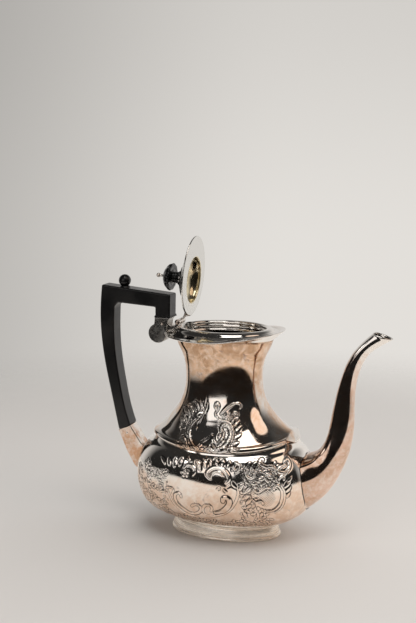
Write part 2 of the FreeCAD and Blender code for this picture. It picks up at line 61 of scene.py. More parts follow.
# ---- numeric helpers -------------------------------------------------------------------
def cubic_through(knots: Points, values: Points, query: Points) -> Points:
    """Natural cubic spline.

    Args:
        knots: Increasing parameters, one per row of values.
        values: Table of values, one row per knot.
        query: Parameters to read the spline at.

    Returns:
        One row of values per query.
    """
    count = len(knots)
    step = np.diff(knots)
    matrix = np.eye(count)
    right = np.zeros_like(values)
    for i in range(1, count - 1):
        matrix[i, i - 1:i + 2] = (step[i - 1], 2.0 * (step[i - 1] + step[i]), step[i])
        right[i] = 6.0 * ((values[i + 1] - values[i]) / step[i]
                          - (values[i] - values[i - 1]) / step[i - 1])
    bend = np.linalg.solve(matrix, right)
    low = np.clip(np.searchsorted(knots, query) - 1, 0, count - 2)
    span = step[low][:, None]
    b = (query - knots[low])[:, None] / span
    a = 1.0 - b
    return (a * values[low] + b * values[low + 1]
            + ((a ** 3 - a) * bend[low] + (b ** 3 - b) * bend[low + 1]) * span ** 2 / 6.0)


def smooth_path(points: Points, count: int) -> Points:
    """Evenly spaced points on a smooth line.

    Args:
        points: Guide points, one per row, in any number of columns.
        count: How many points to return.

    Returns:
        count rows, evenly spaced along the line through the guide points.
    """
    knots = np.concatenate([[0.0], np.cumsum(np.linalg.norm(np.diff(points, axis=0), axis=1))])
    fine = cubic_through(knots, points, np.linspace(0.0, knots[-1], 12 * count))
    run = np.concatenate([[0.0], np.cumsum(np.linalg.norm(np.diff(fine, axis=0), axis=1))])
    even = np.linspace(0.0, run[-1], count)
    return np.stack([np.interp(even, run, fine[:, k]) for k in range(points.shape[1])], axis=1)


def surface_normals(grid: Points, wrap: bool) -> Points:
    """Unit normals of a grid of points.

    Args:
        grid: Points, rows by columns by 3.
        wrap: Whether the last column joins the first.

    Returns:
        Normals with the grid's shape, along (column step) x (row step).
    """
    if wrap:
        across = np.roll(grid, -1, axis=1) - np.roll(grid, 1, axis=1)
    else:
        across = np.gradient(grid, axis=1)
    along = np.gradient(grid, axis=0)
    normal = np.cross(across, along)
    return normal / np.maximum(np.linalg.norm(normal, axis=2, keepdims=True), 1e-12)


def rounded_profile(corners: list, radius: float, steps: int = 4) -> list:
    """Closed outline with its corners rounded.

    Args:
        corners: Corner points (a, b) in order.
        radius: Rounding radius, cut down where edges are short.
        steps: Points per corner.

    Returns:
        The rounded outline's points.
    """
    out = []
    count = len(corners)
    for i in range(count):
        before, here, after = (np.array(corners[(i + k) % count], float) for k in (-1, 0, 1))
        back, ahead = before - here, after - here
        reach = min(radius, 0.45 * np.linalg.norm(back), 0.45 * np.linalg.norm(ahead))
        start = here + back / max(np.linalg.norm(back), 1e-9) * reach
        end = here + ahead / max(np.linalg.norm(ahead), 1e-9) * reach
        for k in range(steps):
            t = k / (steps - 1.0)
            out.append(tuple((1 - t) ** 2 * start + 2 * t * (1 - t) * here + t * t * end))
    return out


# ---- mesh helpers ----------------------------------------------------------------------
def mesh_object(name: str, points: Points, faces: list, smooth: bool = True) -> bpy.types.Object:
    """Object from points in millimetres.

    Args:
        name: Piece name.
        points: Vertices, one per row.
        faces: Vertex numbers per face.
        smooth: Whether faces are shaded smooth.

    Returns:
        The linked object, at the origin.
    """
    mesh = bpy.data.meshes.new(name)
    mesh.from_pydata((np.asarray(points, float) * MM).tolist(), [], faces)
    mesh.validate()
    mesh.polygons.foreach_set("use_smooth", [smooth] * len(mesh.polygons))
    mesh.update()
    obj = bpy.data.objects.new(name, mesh)
    bpy.context.scene.collection.objects.link(obj)
    return obj


def grid_faces(rows: int, cols: int, wrap_cols: bool, wrap_rows: bool) -> list:
    """Quads of a grid whose vertices are numbered row by row.

    Args:
        rows: Number of rows.
        cols: Number of columns.
        wrap_cols: Whether the last column joins the first.
        wrap_rows: Whether the last row joins the first.

    Returns:
        Four vertex numbers per face.
    """
    r = np.arange(rows if wrap_rows else rows - 1)[:, None]
    c = np.arange(cols if wrap_cols else cols - 1)[None, :]
    r2, c2 = (r + 1) % rows, (c + 1) % cols
    quads = np.stack(np.broadcast_arrays(r * cols + c, r * cols + c2, r2 * cols + c2,
                                         r2 * cols + c), axis=-1)
    return quads.reshape(-1, 4).tolist()


def grid_object(name: str, grid: Points, wrap_cols: bool = True, wrap_rows: bool = False,
                caps: bool = False, smooth: bool = True) -> bpy.types.Object:
    """Object from a grid of points.

    Args:
        name: Piece name.
        grid: Points, rows by columns by 3, in millimetres.
        wrap_cols: Whether the last column joins the first.
        wrap_rows: Whether the last row joins the first.
        caps: Whether the first and last rows are closed with a face.
        smooth: Whether faces are shaded smooth.

    Returns:
        The linked object.
    """
    rows, cols = grid.shape[:2]
    faces = grid_faces(rows, cols, wrap_cols, wrap_rows)
    if caps:
        faces.append(list(range(cols))[::-1])
        faces.append([(rows - 1) * cols + i for i in range(cols)])
    return mesh_object(name, grid.reshape(-1, 3), faces, smooth)


def turned_object(name: str, profile: list, centre: tuple, turns: int = 64,
                  flute: tuple = (0, 0.0, 0.0, 0.0)) -> bpy.types.Object:
    """Turned piece about a vertical axis, with optional flutes.

    Args:
        name: Piece name.
        profile: Closed outline of (radius, height) points.
        centre: (x, y, z) of the axis foot.
        turns: Columns round the axis.
        flute: (count, depth, lowest height, highest height) of the flutes.

    Returns:
        The linked object.
    """
    outline = np.array(profile, float)
    angle = np.linspace(0.0, TAU, turns, endpoint=False)
    radius = outline[:, 0][:, None] * np.ones(turns)
    height = outline[:, 1][:, None] * np.ones(turns)
    count, depth, low, high = flute
    if count:
        share = np.clip((height - low) / max(high - low, 1e-6), 0.0, 1.0)
        weight = np.where((height >= low) & (height <= high), np.sin(math.pi * share) ** 0.6, 0.0)
        weight = weight * np.clip(radius / radius.max(), 0.0, 1.0) ** 2
        radius = radius - depth * weight * (0.5 + 0.5 * np.cos(count * angle))
    grid = np.stack([centre[0] + radius * np.cos(angle), centre[1] + radius * np.sin(angle),
                     centre[2] + height], axis=-1)
    return grid_object(name, grid, wrap_rows=True)


def oval_sweep(centre_x: float, half_x: float, half_y: float, profile: list, columns: int,
               lift: float = 0.0) -> Points:
    """Closed profile carried round an oval.

    Args:
        centre_x: Middle of the oval along X.
        half_x: Half length of the oval.
        half_y: Half width of the oval.
        profile: (outward offset, height, share of the lift) points.
        columns: Number of sections.
        lift: Height gained towards the spout by points with a full share.

    Returns:
        Grid of points, one row per profile point.
    """
    angle = np.linspace(0.0, TAU, columns, endpoint=False) + math.pi
    nx, ny = np.cos(angle) / half_x, np.sin(angle) / half_y
    size = np.hypot(nx, ny)
    nx, ny = nx / size, ny / size
    rise = lift * np.maximum(0.0, np.cos(angle)) ** 1.3
    rows = []
    for out, height, share in profile:
        rows.append(np.stack([centre_x + half_x * np.cos(angle) + out * nx,
                              half_y * np.sin(angle) + out * ny, height + share * rise], axis=-1))
    return np.array(rows)


def bar_object(name: str, outline: Points, half_width: float, bevel: float,
               segments: int = 3) -> bpy.types.Object:
    """Flat outline in the XZ plane, thickened along Y, with rounded edges.

    Args:
        name: Piece name.
        outline: (x, z) points in order.
        half_width: Half thickness along Y.
        bevel: Edge rounding.
        segments: Facets of the rounding.

    Returns:
        The linked object, modifiers applied.
    """
    flat = np.asarray(outline, float)
    count = len(flat)
    points = np.concatenate([np.column_stack([flat[:, 0], np.full(count, y), flat[:, 1]])
                             for y in (-half_width, half_width)])
    faces = [list(range(count)), [count + i for i in range(count)][::-1]]
    faces += [[i, count + i, count + (i + 1) % count, (i + 1) % count] for i in range(count)]
    obj = mesh_object(name, points, faces)
    mod = obj.modifiers.new("edges", "BEVEL")
    mod.width, mod.segments, mod.limit_method = bevel * MM, segments, "ANGLE"
    mod.angle_limit = math.radians(40.0)
    mod.use_clamp_overlap = True
    mod.harden_normals = True
    return applied(obj)


def rounded_rod(name: str, place: tuple, radius: float, low: float, high: float,
                edge: float, bore: float = 0.001) -> bpy.types.Object:
    """Cylinder along Y with rounded ends.

    Args:
        name: Piece name.
        place: (x, z) of its axis.
        radius: Outer radius.
        low: Lowest y.
        high: Highest y.
        edge: Rounding of the ends.
        bore: Radius of the hole along it.

    Returns:
        The linked object.
    """
    outline = np.array(rounded_profile([(bore, low), (radius, low), (radius, high), (bore, high)],
                                       edge, 5))
    angle = np.linspace(0.0, TAU, 40, endpoint=False)
    grid = np.stack([place[0] + outline[:, :1] * np.cos(angle),
                     outline[:, 1:] + 0.0 * angle,
                     place[1] + outline[:, :1] * np.sin(angle)], axis=-1)
    return grid_object(name, grid, wrap_rows=True)


def applied(obj: bpy.types.Object) -> bpy.types.Object:
    """Bake an object's modifiers into its mesh and return it."""
    depsgraph = bpy.context.evaluated_depsgraph_get()
    mesh = bpy.data.meshes.new_from_object(obj.evaluated_get(depsgraph))
    obj.modifiers.clear()
    obj.data = mesh
    return obj


def swung(obj: bpy.types.Object, hinge: tuple, angle: float) -> bpy.types.Object:
    """Turn a lid piece about the hinge axis, in its vertices.

    Args:
        obj: Piece modelled with the lid closed.
        hinge: (x, z) of the hinge axis.
        angle: Radians about +Y.

    Returns:
        The same object.
    """
    pivot = Matrix.Translation(Vector((hinge[0] * MM, 0.0, hinge[1] * MM)))
    obj.data.transform(pivot @ Matrix.Rotation(angle, 4, "Y") @ pivot.inverted())
    obj.data.update()
    return obj


# ---- finishes --------------------------------------------------------------------------
Colour = tuple


class NodeTree:
    """Small builder for a node tree."""

    def __init__(self, owner: bpy.types.ID) -> None:
        """Start with an empty tree.

        Args:
            owner: The material or world that holds it.
        """
        owner.use_nodes = True
        self.tree = owner.node_tree
        self.tree.nodes.clear()

    def add(self, kind: str, **settings: object) -> bpy.types.Node:
        """Add a node and set its properties."""
        node = self.tree.nodes.new(kind)
        for key, value in settings.items():
            setattr(node, key, value)
        return node

    def feed(self, socket: bpy.types.NodeSocket, value: object) -> None:
        """Link a socket to another, or set its value."""
        if isinstance(value, bpy.types.NodeSocket):
            self.tree.links.new(value, socket)
        else:
            socket.default_value = value

    def spread(self, value: object, low: float, high: float, to_low: float = 0.0,
               to_high: float = 1.0) -> bpy.types.NodeSocket:
        """Smoothly map a range of values to another."""
        node = self.add("ShaderNodeMapRange", interpolation_type="SMOOTHSTEP")
        for key, item in zip(("Value", "From Min", "From Max", "To Min", "To Max"),
                             (value, low, high, to_low, to_high)):
            self.feed(node.inputs[key], item)
        return node.outputs[0]

    def maths(self, operation: str, a: object, b: object = 0.0) -> bpy.types.NodeSocket:
        """One arithmetic step."""
        node = self.add("ShaderNodeMath", operation=operation)
        self.feed(node.inputs[0], a)
        self.feed(node.inputs[1], b)
        return node.outputs[0]


class Nodes(NodeTree):
    """Node tree of one material."""

    def __init__(self, name: str) -> None:
        """Start a material with a principled shader.

        Args:
            name: Material name.
        """
        self.material = bpy.data.materials.new(name)
        super().__init__(self.material)
        self.shader = self.add("ShaderNodeBsdfPrincipled")
        self.output = self.add("ShaderNodeOutputMaterial")
        self.feed(self.output.inputs["Surface"], self.shader.outputs[0])
        self.place = self.add("ShaderNodeTexCoord").outputs["Object"]

    def scaled(self, factors: tuple) -> bpy.types.NodeSocket:
        """Object coordinates stretched by one factor per axis."""
        node = self.add("ShaderNodeMapping")
        self.feed(node.inputs["Vector"], self.place)
        self.feed(node.inputs["Scale"], factors)
        return node.outputs[0]

    def noise(self, scale: float, detail: float = 4.0, rough: float = 0.55,
              place: object = None, warp: float = 0.0) -> bpy.types.NodeSocket:
        """Fractal noise, from 0 to 1."""
        node = self.add("ShaderNodeTexNoise")
        self.feed(node.inputs["Vector"], self.place if place is None else place)
        self.feed(node.inputs["Scale"], scale)
        self.feed(node.inputs["Detail"], detail)
        self.feed(node.inputs["Roughness"], rough)
        self.feed(node.inputs["Distortion"], warp)
        return node.outputs["Fac"]

    def cells(self, scale: float, feature: str = "F1") -> bpy.types.NodeSocket:
        """Distance within random cells."""
        node = self.add("ShaderNodeTexVoronoi", feature=feature)
        self.feed(node.inputs["Vector"], self.place)
        self.feed(node.inputs["Scale"], scale)
        return node.outputs["Distance"]

    def mix(self, share: object, a: object, b: object) -> bpy.types.NodeSocket:
        """Blend two colours."""
        node = self.add("ShaderNodeMix", data_type="RGBA")
        self.feed(node.inputs[0], share)
        for socket, value in ((node.inputs[6], a), (node.inputs[7], b)):
            self.feed(socket, value if isinstance(value, bpy.types.NodeSocket) else (*value, 1.0))
        return node.outputs[2]

    def height(self) -> bpy.types.NodeSocket:
        """Height above the table, in metres."""
        node = self.add("ShaderNodeSeparateXYZ")
        self.feed(node.inputs[0], self.place)
        return node.outputs[2]

    def attribute(self, name: str) -> bpy.types.NodeSocket:
        """A number stored on the mesh."""
        return self.add("ShaderNodeAttribute", attribute_name=name).outputs["Fac"]

    def bump(self, height: object, distance: float, strength: float = 1.0) -> None:
        """Perturb the shader's normal, on top of any earlier bump."""
        node = self.add("ShaderNodeBump")
        self.feed(node.inputs["Height"], height)
        self.feed(node.inputs["Distance"], distance)
        self.feed(node.inputs["Strength"], strength)
        normal = self.shader.inputs["Normal"]
        if normal.is_linked:
            self.feed(node.inputs["Normal"], normal.links[0].from_socket)
        self.feed(normal, node.outputs[0])

    def finish(self, colour: object, roughness: object, metallic: float,
               **sockets: float) -> bpy.types.Material:
        """Set the shader's main sockets and return the material."""
        self.feed(self.shader.inputs["Base Color"],
                  colour if isinstance(colour, bpy.types.NodeSocket) else (*colour, 1.0))
        self.feed(self.shader.inputs["Roughness"], roughness)
        self.feed(self.shader.inputs["Metallic"], metallic)
        for key, value in sockets.items():
            self.feed(self.shader.inputs[key.replace("_", " ")], value)
        return self.material


@dataclass(frozen=True)
class SilverPlate:
    """Silver plate with warm tarnish, hand polish marks, dark recesses and painted shade on inner
    walls.

    coverage is the tarnished share, depth the strength of its brown, patch the noise scale
    of its patches, and low to high the heights in millimetres over which it fades out.
    """

    name: str
    silver: Colour = (0.80, 0.765, 0.72)
    stain: Colour = (0.69, 0.53, 0.43)
    umber: Colour = (0.42, 0.255, 0.15)
    smoke: Colour = (0.15, 0.12, 0.15)
    coverage: float = 0.5
    depth: float = 0.35
    patch: float = 26.0
    low: float = 0.0
    high: float = 0.0
    polish: float = 0.07
    chased: bool = False

    def build(self) -> bpy.types.Material:
        """Make the material."""
        n = Nodes(self.name)
        cloud = n.noise(self.patch, 5.0, 0.62, warp=0.6)
        if self.high != self.low:
            low, high = sorted((self.low * MM, self.high * MM))
            tip = math.copysign(0.16, self.high - self.low)
            band = n.spread(n.height(), low, high, tip, -tip)
            cloud = n.maths("ADD", cloud, band)
        limit = 0.72 - 0.44 * self.coverage
        share = n.spread(cloud, limit - 0.10, limit + 0.14)
        share = n.maths("MULTIPLY", share, n.spread(n.noise(210.0, 5.0, 0.7), 0.3, 0.62, 0.45, 1.0))
        colour = n.mix(share, self.silver, self.stain)
        deep = n.spread(cloud, limit + 0.06, limit + 0.30, 0.0, self.depth)
        deep = n.maths("MULTIPLY", deep, n.spread(n.noise(120.0, 5.0, 0.65, warp=0.8), 0.34, 0.6))
        colour = n.mix(deep, colour, self.umber)
        fume = n.spread(n.noise(64.0, 4.0, 0.6, warp=1.2), 0.60, 0.74, 0.0, 0.75)
        colour = n.mix(n.maths("MULTIPLY", fume, share), colour, self.smoke)
        rough = n.spread(n.noise(90.0, 6.0, 0.7), 0.3, 0.75, self.polish * 0.6, self.polish * 1.9)
        rough = n.maths("ADD", rough, n.spread(n.noise(14.0, 2.0), 0.45, 0.75, 0.0, 0.05))
        if self.chased:
            depth = n.attribute("relief")
            colour = n.mix(n.spread(depth, -0.02, -0.16), colour, (0.05, 0.035, 0.03))
            ground = n.attribute("ground")
            rough = n.maths("ADD", rough, n.maths("MULTIPLY", ground, 0.16))
            matting = n.maths("MULTIPLY", n.cells(900.0), ground)
            n.bump(matting, 0.00035, 0.55)
            # Inner wall: painted shade, dark brown-black mottled by the tarnish noise, and duller.
            inside = n.attribute("inside")
            colour = n.mix(inside, colour, n.mix(cloud, (0.11, 0.07, 0.045), (0.035, 0.022, 0.016)))
            rough = n.maths("ADD", rough, n.maths("MULTIPLY", inside, 0.4))
        scratch = n.noise(420.0, 3.0, 0.6, n.scaled((1.0, 1.0, 7.0)))
        n.bump(scratch, 0.00002, 0.35)
        n.bump(n.noise(75.0, 2.0), 0.00018, 0.25)
        return n.finish(colour, rough, 1.0)


@dataclass(frozen=True)
class BrushedFoot:
    """Pale cream plate on the foot band, brushed round the oval; the pale cream tint on a
    half-matte base is a painted reflection of the pale floor.
    """

    name: str
    # Pale cream tint: painted reflection of the pale floor in the foot.
    tint: Colour = (1.0, 0.92, 0.82)

    def build(self) -> bpy.types.Material:
        """Make the material."""
        n = Nodes(self.name)
        streak = n.noise(260.0, 3.0, 0.6, n.scaled((0.25, 0.25, 5.0)))
        cloud = n.noise(30.0, 5.0, 0.6)
        colour = n.mix(n.spread(cloud, 0.45, 0.75), self.tint, (0.88, 0.77, 0.65))
        colour = n.mix(n.spread(streak, 0.55, 0.8, 0.0, 0.08), colour, (0.42, 0.36, 0.31))
        rough = n.spread(streak, 0.3, 0.7, 0.22, 0.34)
        n.bump(streak, 0.00003, 0.4)
        # Half metallic, so the pale tint shows as a painted reflection of the floor.
        return n.finish(colour, rough, 0.5)


@dataclass(frozen=True)
class SatinBlack:
    """Black composition or stained wood with a rubbed satin surface."""

    name: str
    gloss: float = 0.34
    grain: float = 1.0

    def build(self) -> bpy.types.Material:
        """Make the material."""
        n = Nodes(self.name)
        fine = n.noise(330.0, 5.0, 0.65, n.scaled((1.0, 1.0, 0.35)))
        cloud = n.noise(45.0, 4.0)
        colour = n.mix(n.spread(cloud, 0.35, 0.7), (0.0030, 0.0030, 0.0034),
                       (0.0085, 0.0078, 0.0075))
        wear = n.spread(fine, 0.62, 0.85, 0.0, 0.5)
        colour = n.mix(wear, colour, (0.020, 0.018, 0.017))
        rough = n.spread(cloud, 0.3, 0.75, self.gloss * 0.85, self.gloss * 1.3)
        n.bump(fine, 0.00006 * self.grain, 0.5)
        n.bump(cloud, 0.0004, 0.15)
        return n.finish(colour, rough, 0.0, Coat_Weight=0.12, Coat_Roughness=0.16,
                        Specular_IOR_Level=0.38)


@dataclass(frozen=True)
class WashedGilt:
    """Worn gilt wash inside the lid's dome, with spots of painted sheen."""

    name: str
    gilt: Colour = (0.80, 0.71, 0.50)

    def build(self) -> bpy.types.Material:
        """Make the material."""
        n = Nodes(self.name)
        cloud = n.noise(70.0, 5.0, 0.6, warp=0.8)
        colour = n.mix(n.spread(cloud, 0.42, 0.72), self.gilt, (0.34, 0.27, 0.17))
        # Pale spots: painted sheen on the gilt.
        painted_sheen = n.spread(n.noise(170.0, 3.0), 0.6, 0.75, 0.0, 0.5)
        colour = n.mix(painted_sheen, colour, (0.86, 0.80, 0.66))
        rough = n.spread(n.noise(120.0, 4.0), 0.3, 0.7, 0.10, 0.26)
        n.bump(n.noise(200.0, 3.0), 0.0001, 0.3)
        return n.finish(colour, rough, 1.0)


@dataclass(frozen=True)
class PaleSweep:
    """Pale studio floor that fades out well away from the pot.

    Rays that don't come from the camera see the lighter bounce colour, and nothing past
    edge, in metres towards front. The fade runs from inner to outer metres.
    """

    name: str
    tint: Colour = (0.70, 0.685, 0.668)
    bounce: Colour = (0.97, 0.94, 0.905)
    inner: float = 0.40
    outer: float = 0.85
    front: tuple = (0.342, -0.940, 0.0)
    edge: float = 0.27

    def build(self) -> bpy.types.Material:
        """Make the material."""
        n = Nodes(self.name)
        paper = n.noise(900.0, 4.0)
        colour = n.mix(n.spread(n.noise(3.0, 2.0), 0.3, 0.7), self.tint,
                       tuple(0.985 * c for c in self.tint))
        seen = n.add("ShaderNodeLightPath").outputs["Is Camera Ray"]
        colour = n.mix(seen, self.bounce, colour)
        n.bump(paper, 0.00005, 0.2)
        n.finish(colour, 0.75, 0.0)
        length = n.add("ShaderNodeVectorMath", operation="LENGTH")
        n.feed(length.inputs[0], n.place)
        fade = n.spread(length.outputs["Value"], self.inner, self.outer)
        ahead = n.add("ShaderNodeVectorMath", operation="DOT_PRODUCT")
        n.feed(ahead.inputs[0], n.place)
        n.feed(ahead.inputs[1], self.front)
        edge = n.spread(ahead.outputs["Value"], self.edge, self.edge + 0.03)
        edge = n.maths("MULTIPLY", edge, n.maths("SUBTRACT", 1.0, seen))
        mix = n.add("ShaderNodeMixShader")
        n.feed(mix.inputs[0], n.maths("MAXIMUM", fade, edge))
        n.feed(mix.inputs[1], n.shader.outputs[0])
        n.feed(mix.inputs[2], n.add("ShaderNodeBsdfTransparent").outputs[0])
        n.feed(n.output.inputs["Surface"], mix.outputs[0])
        return n.material


class Finish(Enum):
    """Named finishes of the pot's surfaces."""

    BODY = SilverPlate("body_plate", silver=(0.90, 0.86, 0.81), stain=(0.76, 0.58, 0.455),
                       coverage=0.56, low=30.0, high=74.0, chased=True)
    NECK = SilverPlate("neck_plate", coverage=0.80, low=172.0, high=108.0, chased=True,
                       depth=1.0, stain=(0.74, 0.51, 0.355), umber=(0.44, 0.27, 0.16))
    SPOUT = SilverPlate("spout_plate", coverage=0.72, low=60.0, high=200.0, depth=0.55,
                        stain=(0.66, 0.46, 0.36))
    RIM = SilverPlate("rim_plate", coverage=0.14, patch=40.0, silver=(0.82, 0.79, 0.75))
    LID = SilverPlate("lid_plate", coverage=0.05, patch=20.0, silver=(0.765, 0.76, 0.73),
                      polish=0.15)
    SOCKET = SilverPlate("socket_plate", coverage=0.80, patch=50.0, depth=0.75, low=48.0,
                         high=84.0, stain=(0.58, 0.335, 0.20), polish=0.12)
    WORN = SilverPlate("worn_plate", silver=(0.36, 0.355, 0.34), stain=(0.24, 0.225, 0.21),
                       patch=90.0, polish=0.22)
    FITTING = SilverPlate("fitting_plate", coverage=0.30, patch=120.0, polish=0.12)
    # Near-black bead where the spout meets the body: a solder bead painted with the shadow of the
    # step.
    SOLDER_SHADOW = SilverPlate("solder_shadow_line", silver=(0.10, 0.085, 0.075), stain=(0.05, 0.04, 0.035),
                         patch=90.0, polish=0.2)
    FOOT = BrushedFoot("foot_plate")
    HANDLE = SatinBlack("handle_black")
    KNOB = SatinBlack("knob_black", gloss=0.22, grain=0.6)
    GILT = WashedGilt("gilt_wash")
    FLOOR = PaleSweep("studio_floor")


class Paints:
    """Materials by finish, each made once."""

    def __init__(self) -> None:
        """Start with nothing made."""
        self.made: dict = {}

    def on(self, obj: bpy.types.Object, finish: Finish) -> bpy.types.Object:
        """Give the whole piece one finish.

        Args:
            obj: The piece.
            finish: Which finish.

        Returns:
            The same object.
        """
        if finish not in self.made:
            self.made[finish] = finish.value.build()
        obj.data.materials.clear()
        obj.data.materials.append(self.made[finish])
        return obj


# ---- chased ornament -------------------------------------------------------------------
@dataclass(frozen=True)
class Stroke:
    """A raised line with a round or grooved back.

    Points are (s, w): distance along the panel and distance up the profile.
    """

    path: Points
    widths: Points
    height: float
    groove: float = 0.0

    def press(self, s: Points, w: Points, relief: Points) -> None:
        """Raise the relief under the stroke and sink a fine outline beside it.

        Args:
            s: Distance along the panel, per vertex.
            w: Distance up the profile, per vertex.
            relief: Heights, changed in place.
        """
        reach = 1.7 * float(self.widths.max())
        low, high = self.path.min(axis=0) - reach, self.path.max(axis=0) + reach
        near = np.nonzero((s > low[0]) & (s < high[0]) & (w > low[1]) & (w < high[1]))[0]
        if not len(near):
            return
        spot = np.stack([s[near], w[near]], axis=1)
        best = np.full(len(near), 9.0)
        for a, b, wide_a, wide_b in zip(self.path[:-1], self.path[1:], self.widths[:-1],
                                        self.widths[1:]):
            line = b - a
            t = np.clip(((spot - a) @ line) / max(float(line @ line), 1e-9), 0.0, 1.0)
            gap = np.linalg.norm(spot - a - t[:, None] * line, axis=1)
            best = np.minimum(best, gap / (wide_a + (wide_b - wide_a) * t))
        crest = np.where(best < 1.0, (1.0 - best ** 2) ** 1.4, 0.0)
        crest -= self.groove * np.exp(-(best / 0.28) ** 2) * (best < 1.0)
        ditch = np.where((best >= 1.0) & (best < 1.6), np.sin((best - 1.0) / 0.6 * math.pi), 0.0)
        here = relief[near]
        relief[near] = np.where(best < 1.0, np.maximum(here, self.height * crest),
                                here * (1.0 - ditch) - 0.26 * ditch)


def leaf(root: tuple, direction: float, length: float, width: float = 1.2, bend: float = 25.0,
         height: float = 0.55, groove: float = 0.45) -> Stroke:
    """Pointed leaf with a vein.

    Args:
        root: (s, w) of its foot.
        direction: Growth direction in degrees.
        length: Length.
        width: Greatest half width.
        bend: Change of direction along it, in degrees.
        height: Height.
        groove: Vein depth, as a share.

    Returns:
        The stroke.
    """
    t = np.linspace(0.0, 1.0, 9)
    angle = np.radians(direction + bend * t)
    steps = np.stack([np.cos(angle), np.sin(angle)], 1) * length / 8.0
    path = np.array(root) + np.concatenate([[[0.0, 0.0]], np.cumsum(steps[:-1], axis=0)])
    return Stroke(path, width * (0.18 + np.sin(math.pi * (0.12 + 0.86 * t)) ** 0.8), height, groove)


def blossom(centre: tuple, radius: float, petals: int = 5, turn: float = 0.0,
            height: float = 0.55) -> list:
    """Flower: petals round a boss.

    Args:
        centre: (s, w) of its middle.
        radius: Outer radius.
        petals: Number of petals.
        turn: Rotation in degrees.
        height: Height.

    Returns:
        Its strokes.
    """
    out = []
    for k in range(petals):
        angle = math.radians(turn + 360.0 * k / petals)
        ends = np.outer([0.35 * radius, 0.72 * radius], [math.cos(angle), math.sin(angle)])
        out.append(Stroke(np.array(centre) + ends, np.array([0.16, 0.34]) * radius, height, 0.3))
    out.append(boss(centre, 0.26 * radius, height * 1.1))
    return out


def boss(centre: tuple, radius: float, height: float = 0.5) -> Stroke:
    """Round bead."""
    return Stroke(np.array([centre, (centre[0] + 0.01, centre[1])]), np.full(2, radius), height)


def sprigs(box: tuple, count: int, seed: int, keep_out: list, size: float = 3.4) -> list:
    """Close filling of small leaves and beads.

    Args:
        box: (lowest s, lowest w, highest s, highest w).
        count: Number of leaves.
        seed: Seed of the layout.
        keep_out: (s, w, radius in s, radius in w) ovals left plain.
        size: Length of a leaf.

    Returns:
        Its strokes.
    """
    rng = np.random.default_rng(seed)
    out: list = []
    while len(out) < count:
        s, w = rng.uniform(box[0], box[2]), rng.uniform(box[1], box[3])
        turn, grow = rng.uniform(0.0, 360.0), rng.uniform(0.65, 1.15)
        inside = [((s - k[0]) / k[2]) ** 2 + ((w - k[1]) / k[3]) ** 2 < 1.0 for k in keep_out]
        if any(inside):
            count -= 1
            continue
        if rng.uniform() < 0.22:
            out.append(boss((s, w), 0.28 * size * grow, 0.38))
        else:
            out.append(leaf((s, w), turn, size * grow, 0.30 * size * grow, rng.uniform(-60, 60),
                            0.40))
    return out


@dataclass(frozen=True)
class Chasing:
    """Chased ornament of one panel.

    scrolls are (half width, height, groove, path), leaves (s, w, s, w) from foot to tip,
    flowers (s, w, radius), thickets (box of s and w, number of small leaves), plain and
    hatched (s, w, radius in s, radius in w) ovals.
    """

    scrolls: tuple
    leaves: tuple
    flowers: tuple
    thickets: tuple
    plain: tuple
    hatched: tuple = ()

    def strokes(self) -> list:
        """Every stroke, the close filling first."""
        out: list = []
        for k, (box, count) in enumerate(self.thickets):
            out += sprigs(box, count, 11 + k, self.plain)
        for s, w, radius in self.flowers:
            out += blossom((s, w), radius, turn=20.0)
        for s, w, tip_s, tip_w in self.leaves:
            length = math.hypot(tip_s - s, tip_w - w)
            direction = math.degrees(math.atan2(tip_w - w, tip_s - s))
            out.append(leaf((s, w), direction - 12.0, 1.1 * length, 0.30 + 0.17 * length))
        t = np.linspace(0.0, 1.0, 26)
        swell = 0.5 + 0.5 * np.sin(math.pi * (0.1 + 0.8 * t)) ** 0.6
        for width, height, groove, path in self.scrolls:
            out.append(Stroke(smooth_path(np.array(path), 26), width * swell, height, groove))
        return out

    def press(self, s: Points, w: Points) -> tuple:
        """Relief and matted ground.

        Args:
            s: Distance along the panel, per vertex.
            w: Distance up the profile, per vertex.

        Returns:
            (heights, ground from 0 to 1), shaped like s.
        """
        flat_s, flat_w = s.ravel(), w.ravel()
        relief, ground = np.zeros(flat_s.shape), np.zeros(flat_s.shape)
        for stroke in self.strokes():
            stroke.press(flat_s, flat_w, relief)
        for (s0, w0, s1, w1), _ in self.thickets:
            edge = np.minimum(np.minimum(flat_s - s0, s1 - flat_s),
                              np.minimum(flat_w - w0, w1 - flat_w))
            ground = np.maximum(ground, np.clip(0.5 + edge / 5.0, 0.0, 1.0))
        for cs, cw, rs, rw in self.plain:
            away = np.hypot((flat_s - cs) / rs, (flat_w - cw) / rw)
            ground *= np.clip((away - 0.9) / 0.25, 0.0, 1.0)
        for cs, cw, rs, rw in self.hatched:
            inside = np.clip((1.0 - np.hypot((flat_s - cs) / rs, (flat_w - cw) / rw)) / 0.2, 0, 1)
            line = np.minimum(np.abs(np.sin(math.pi * (flat_s + flat_w) / 2.1)),
                              np.abs(np.sin(math.pi * (flat_s - flat_w) / 2.1)))
            cut = np.clip(1.0 - line / 0.45, 0.0, 1.0) * inside * (relief < 0.1)
            relief -= 0.20 * cut
        return relief.reshape(s.shape), ground.reshape(s.shape)


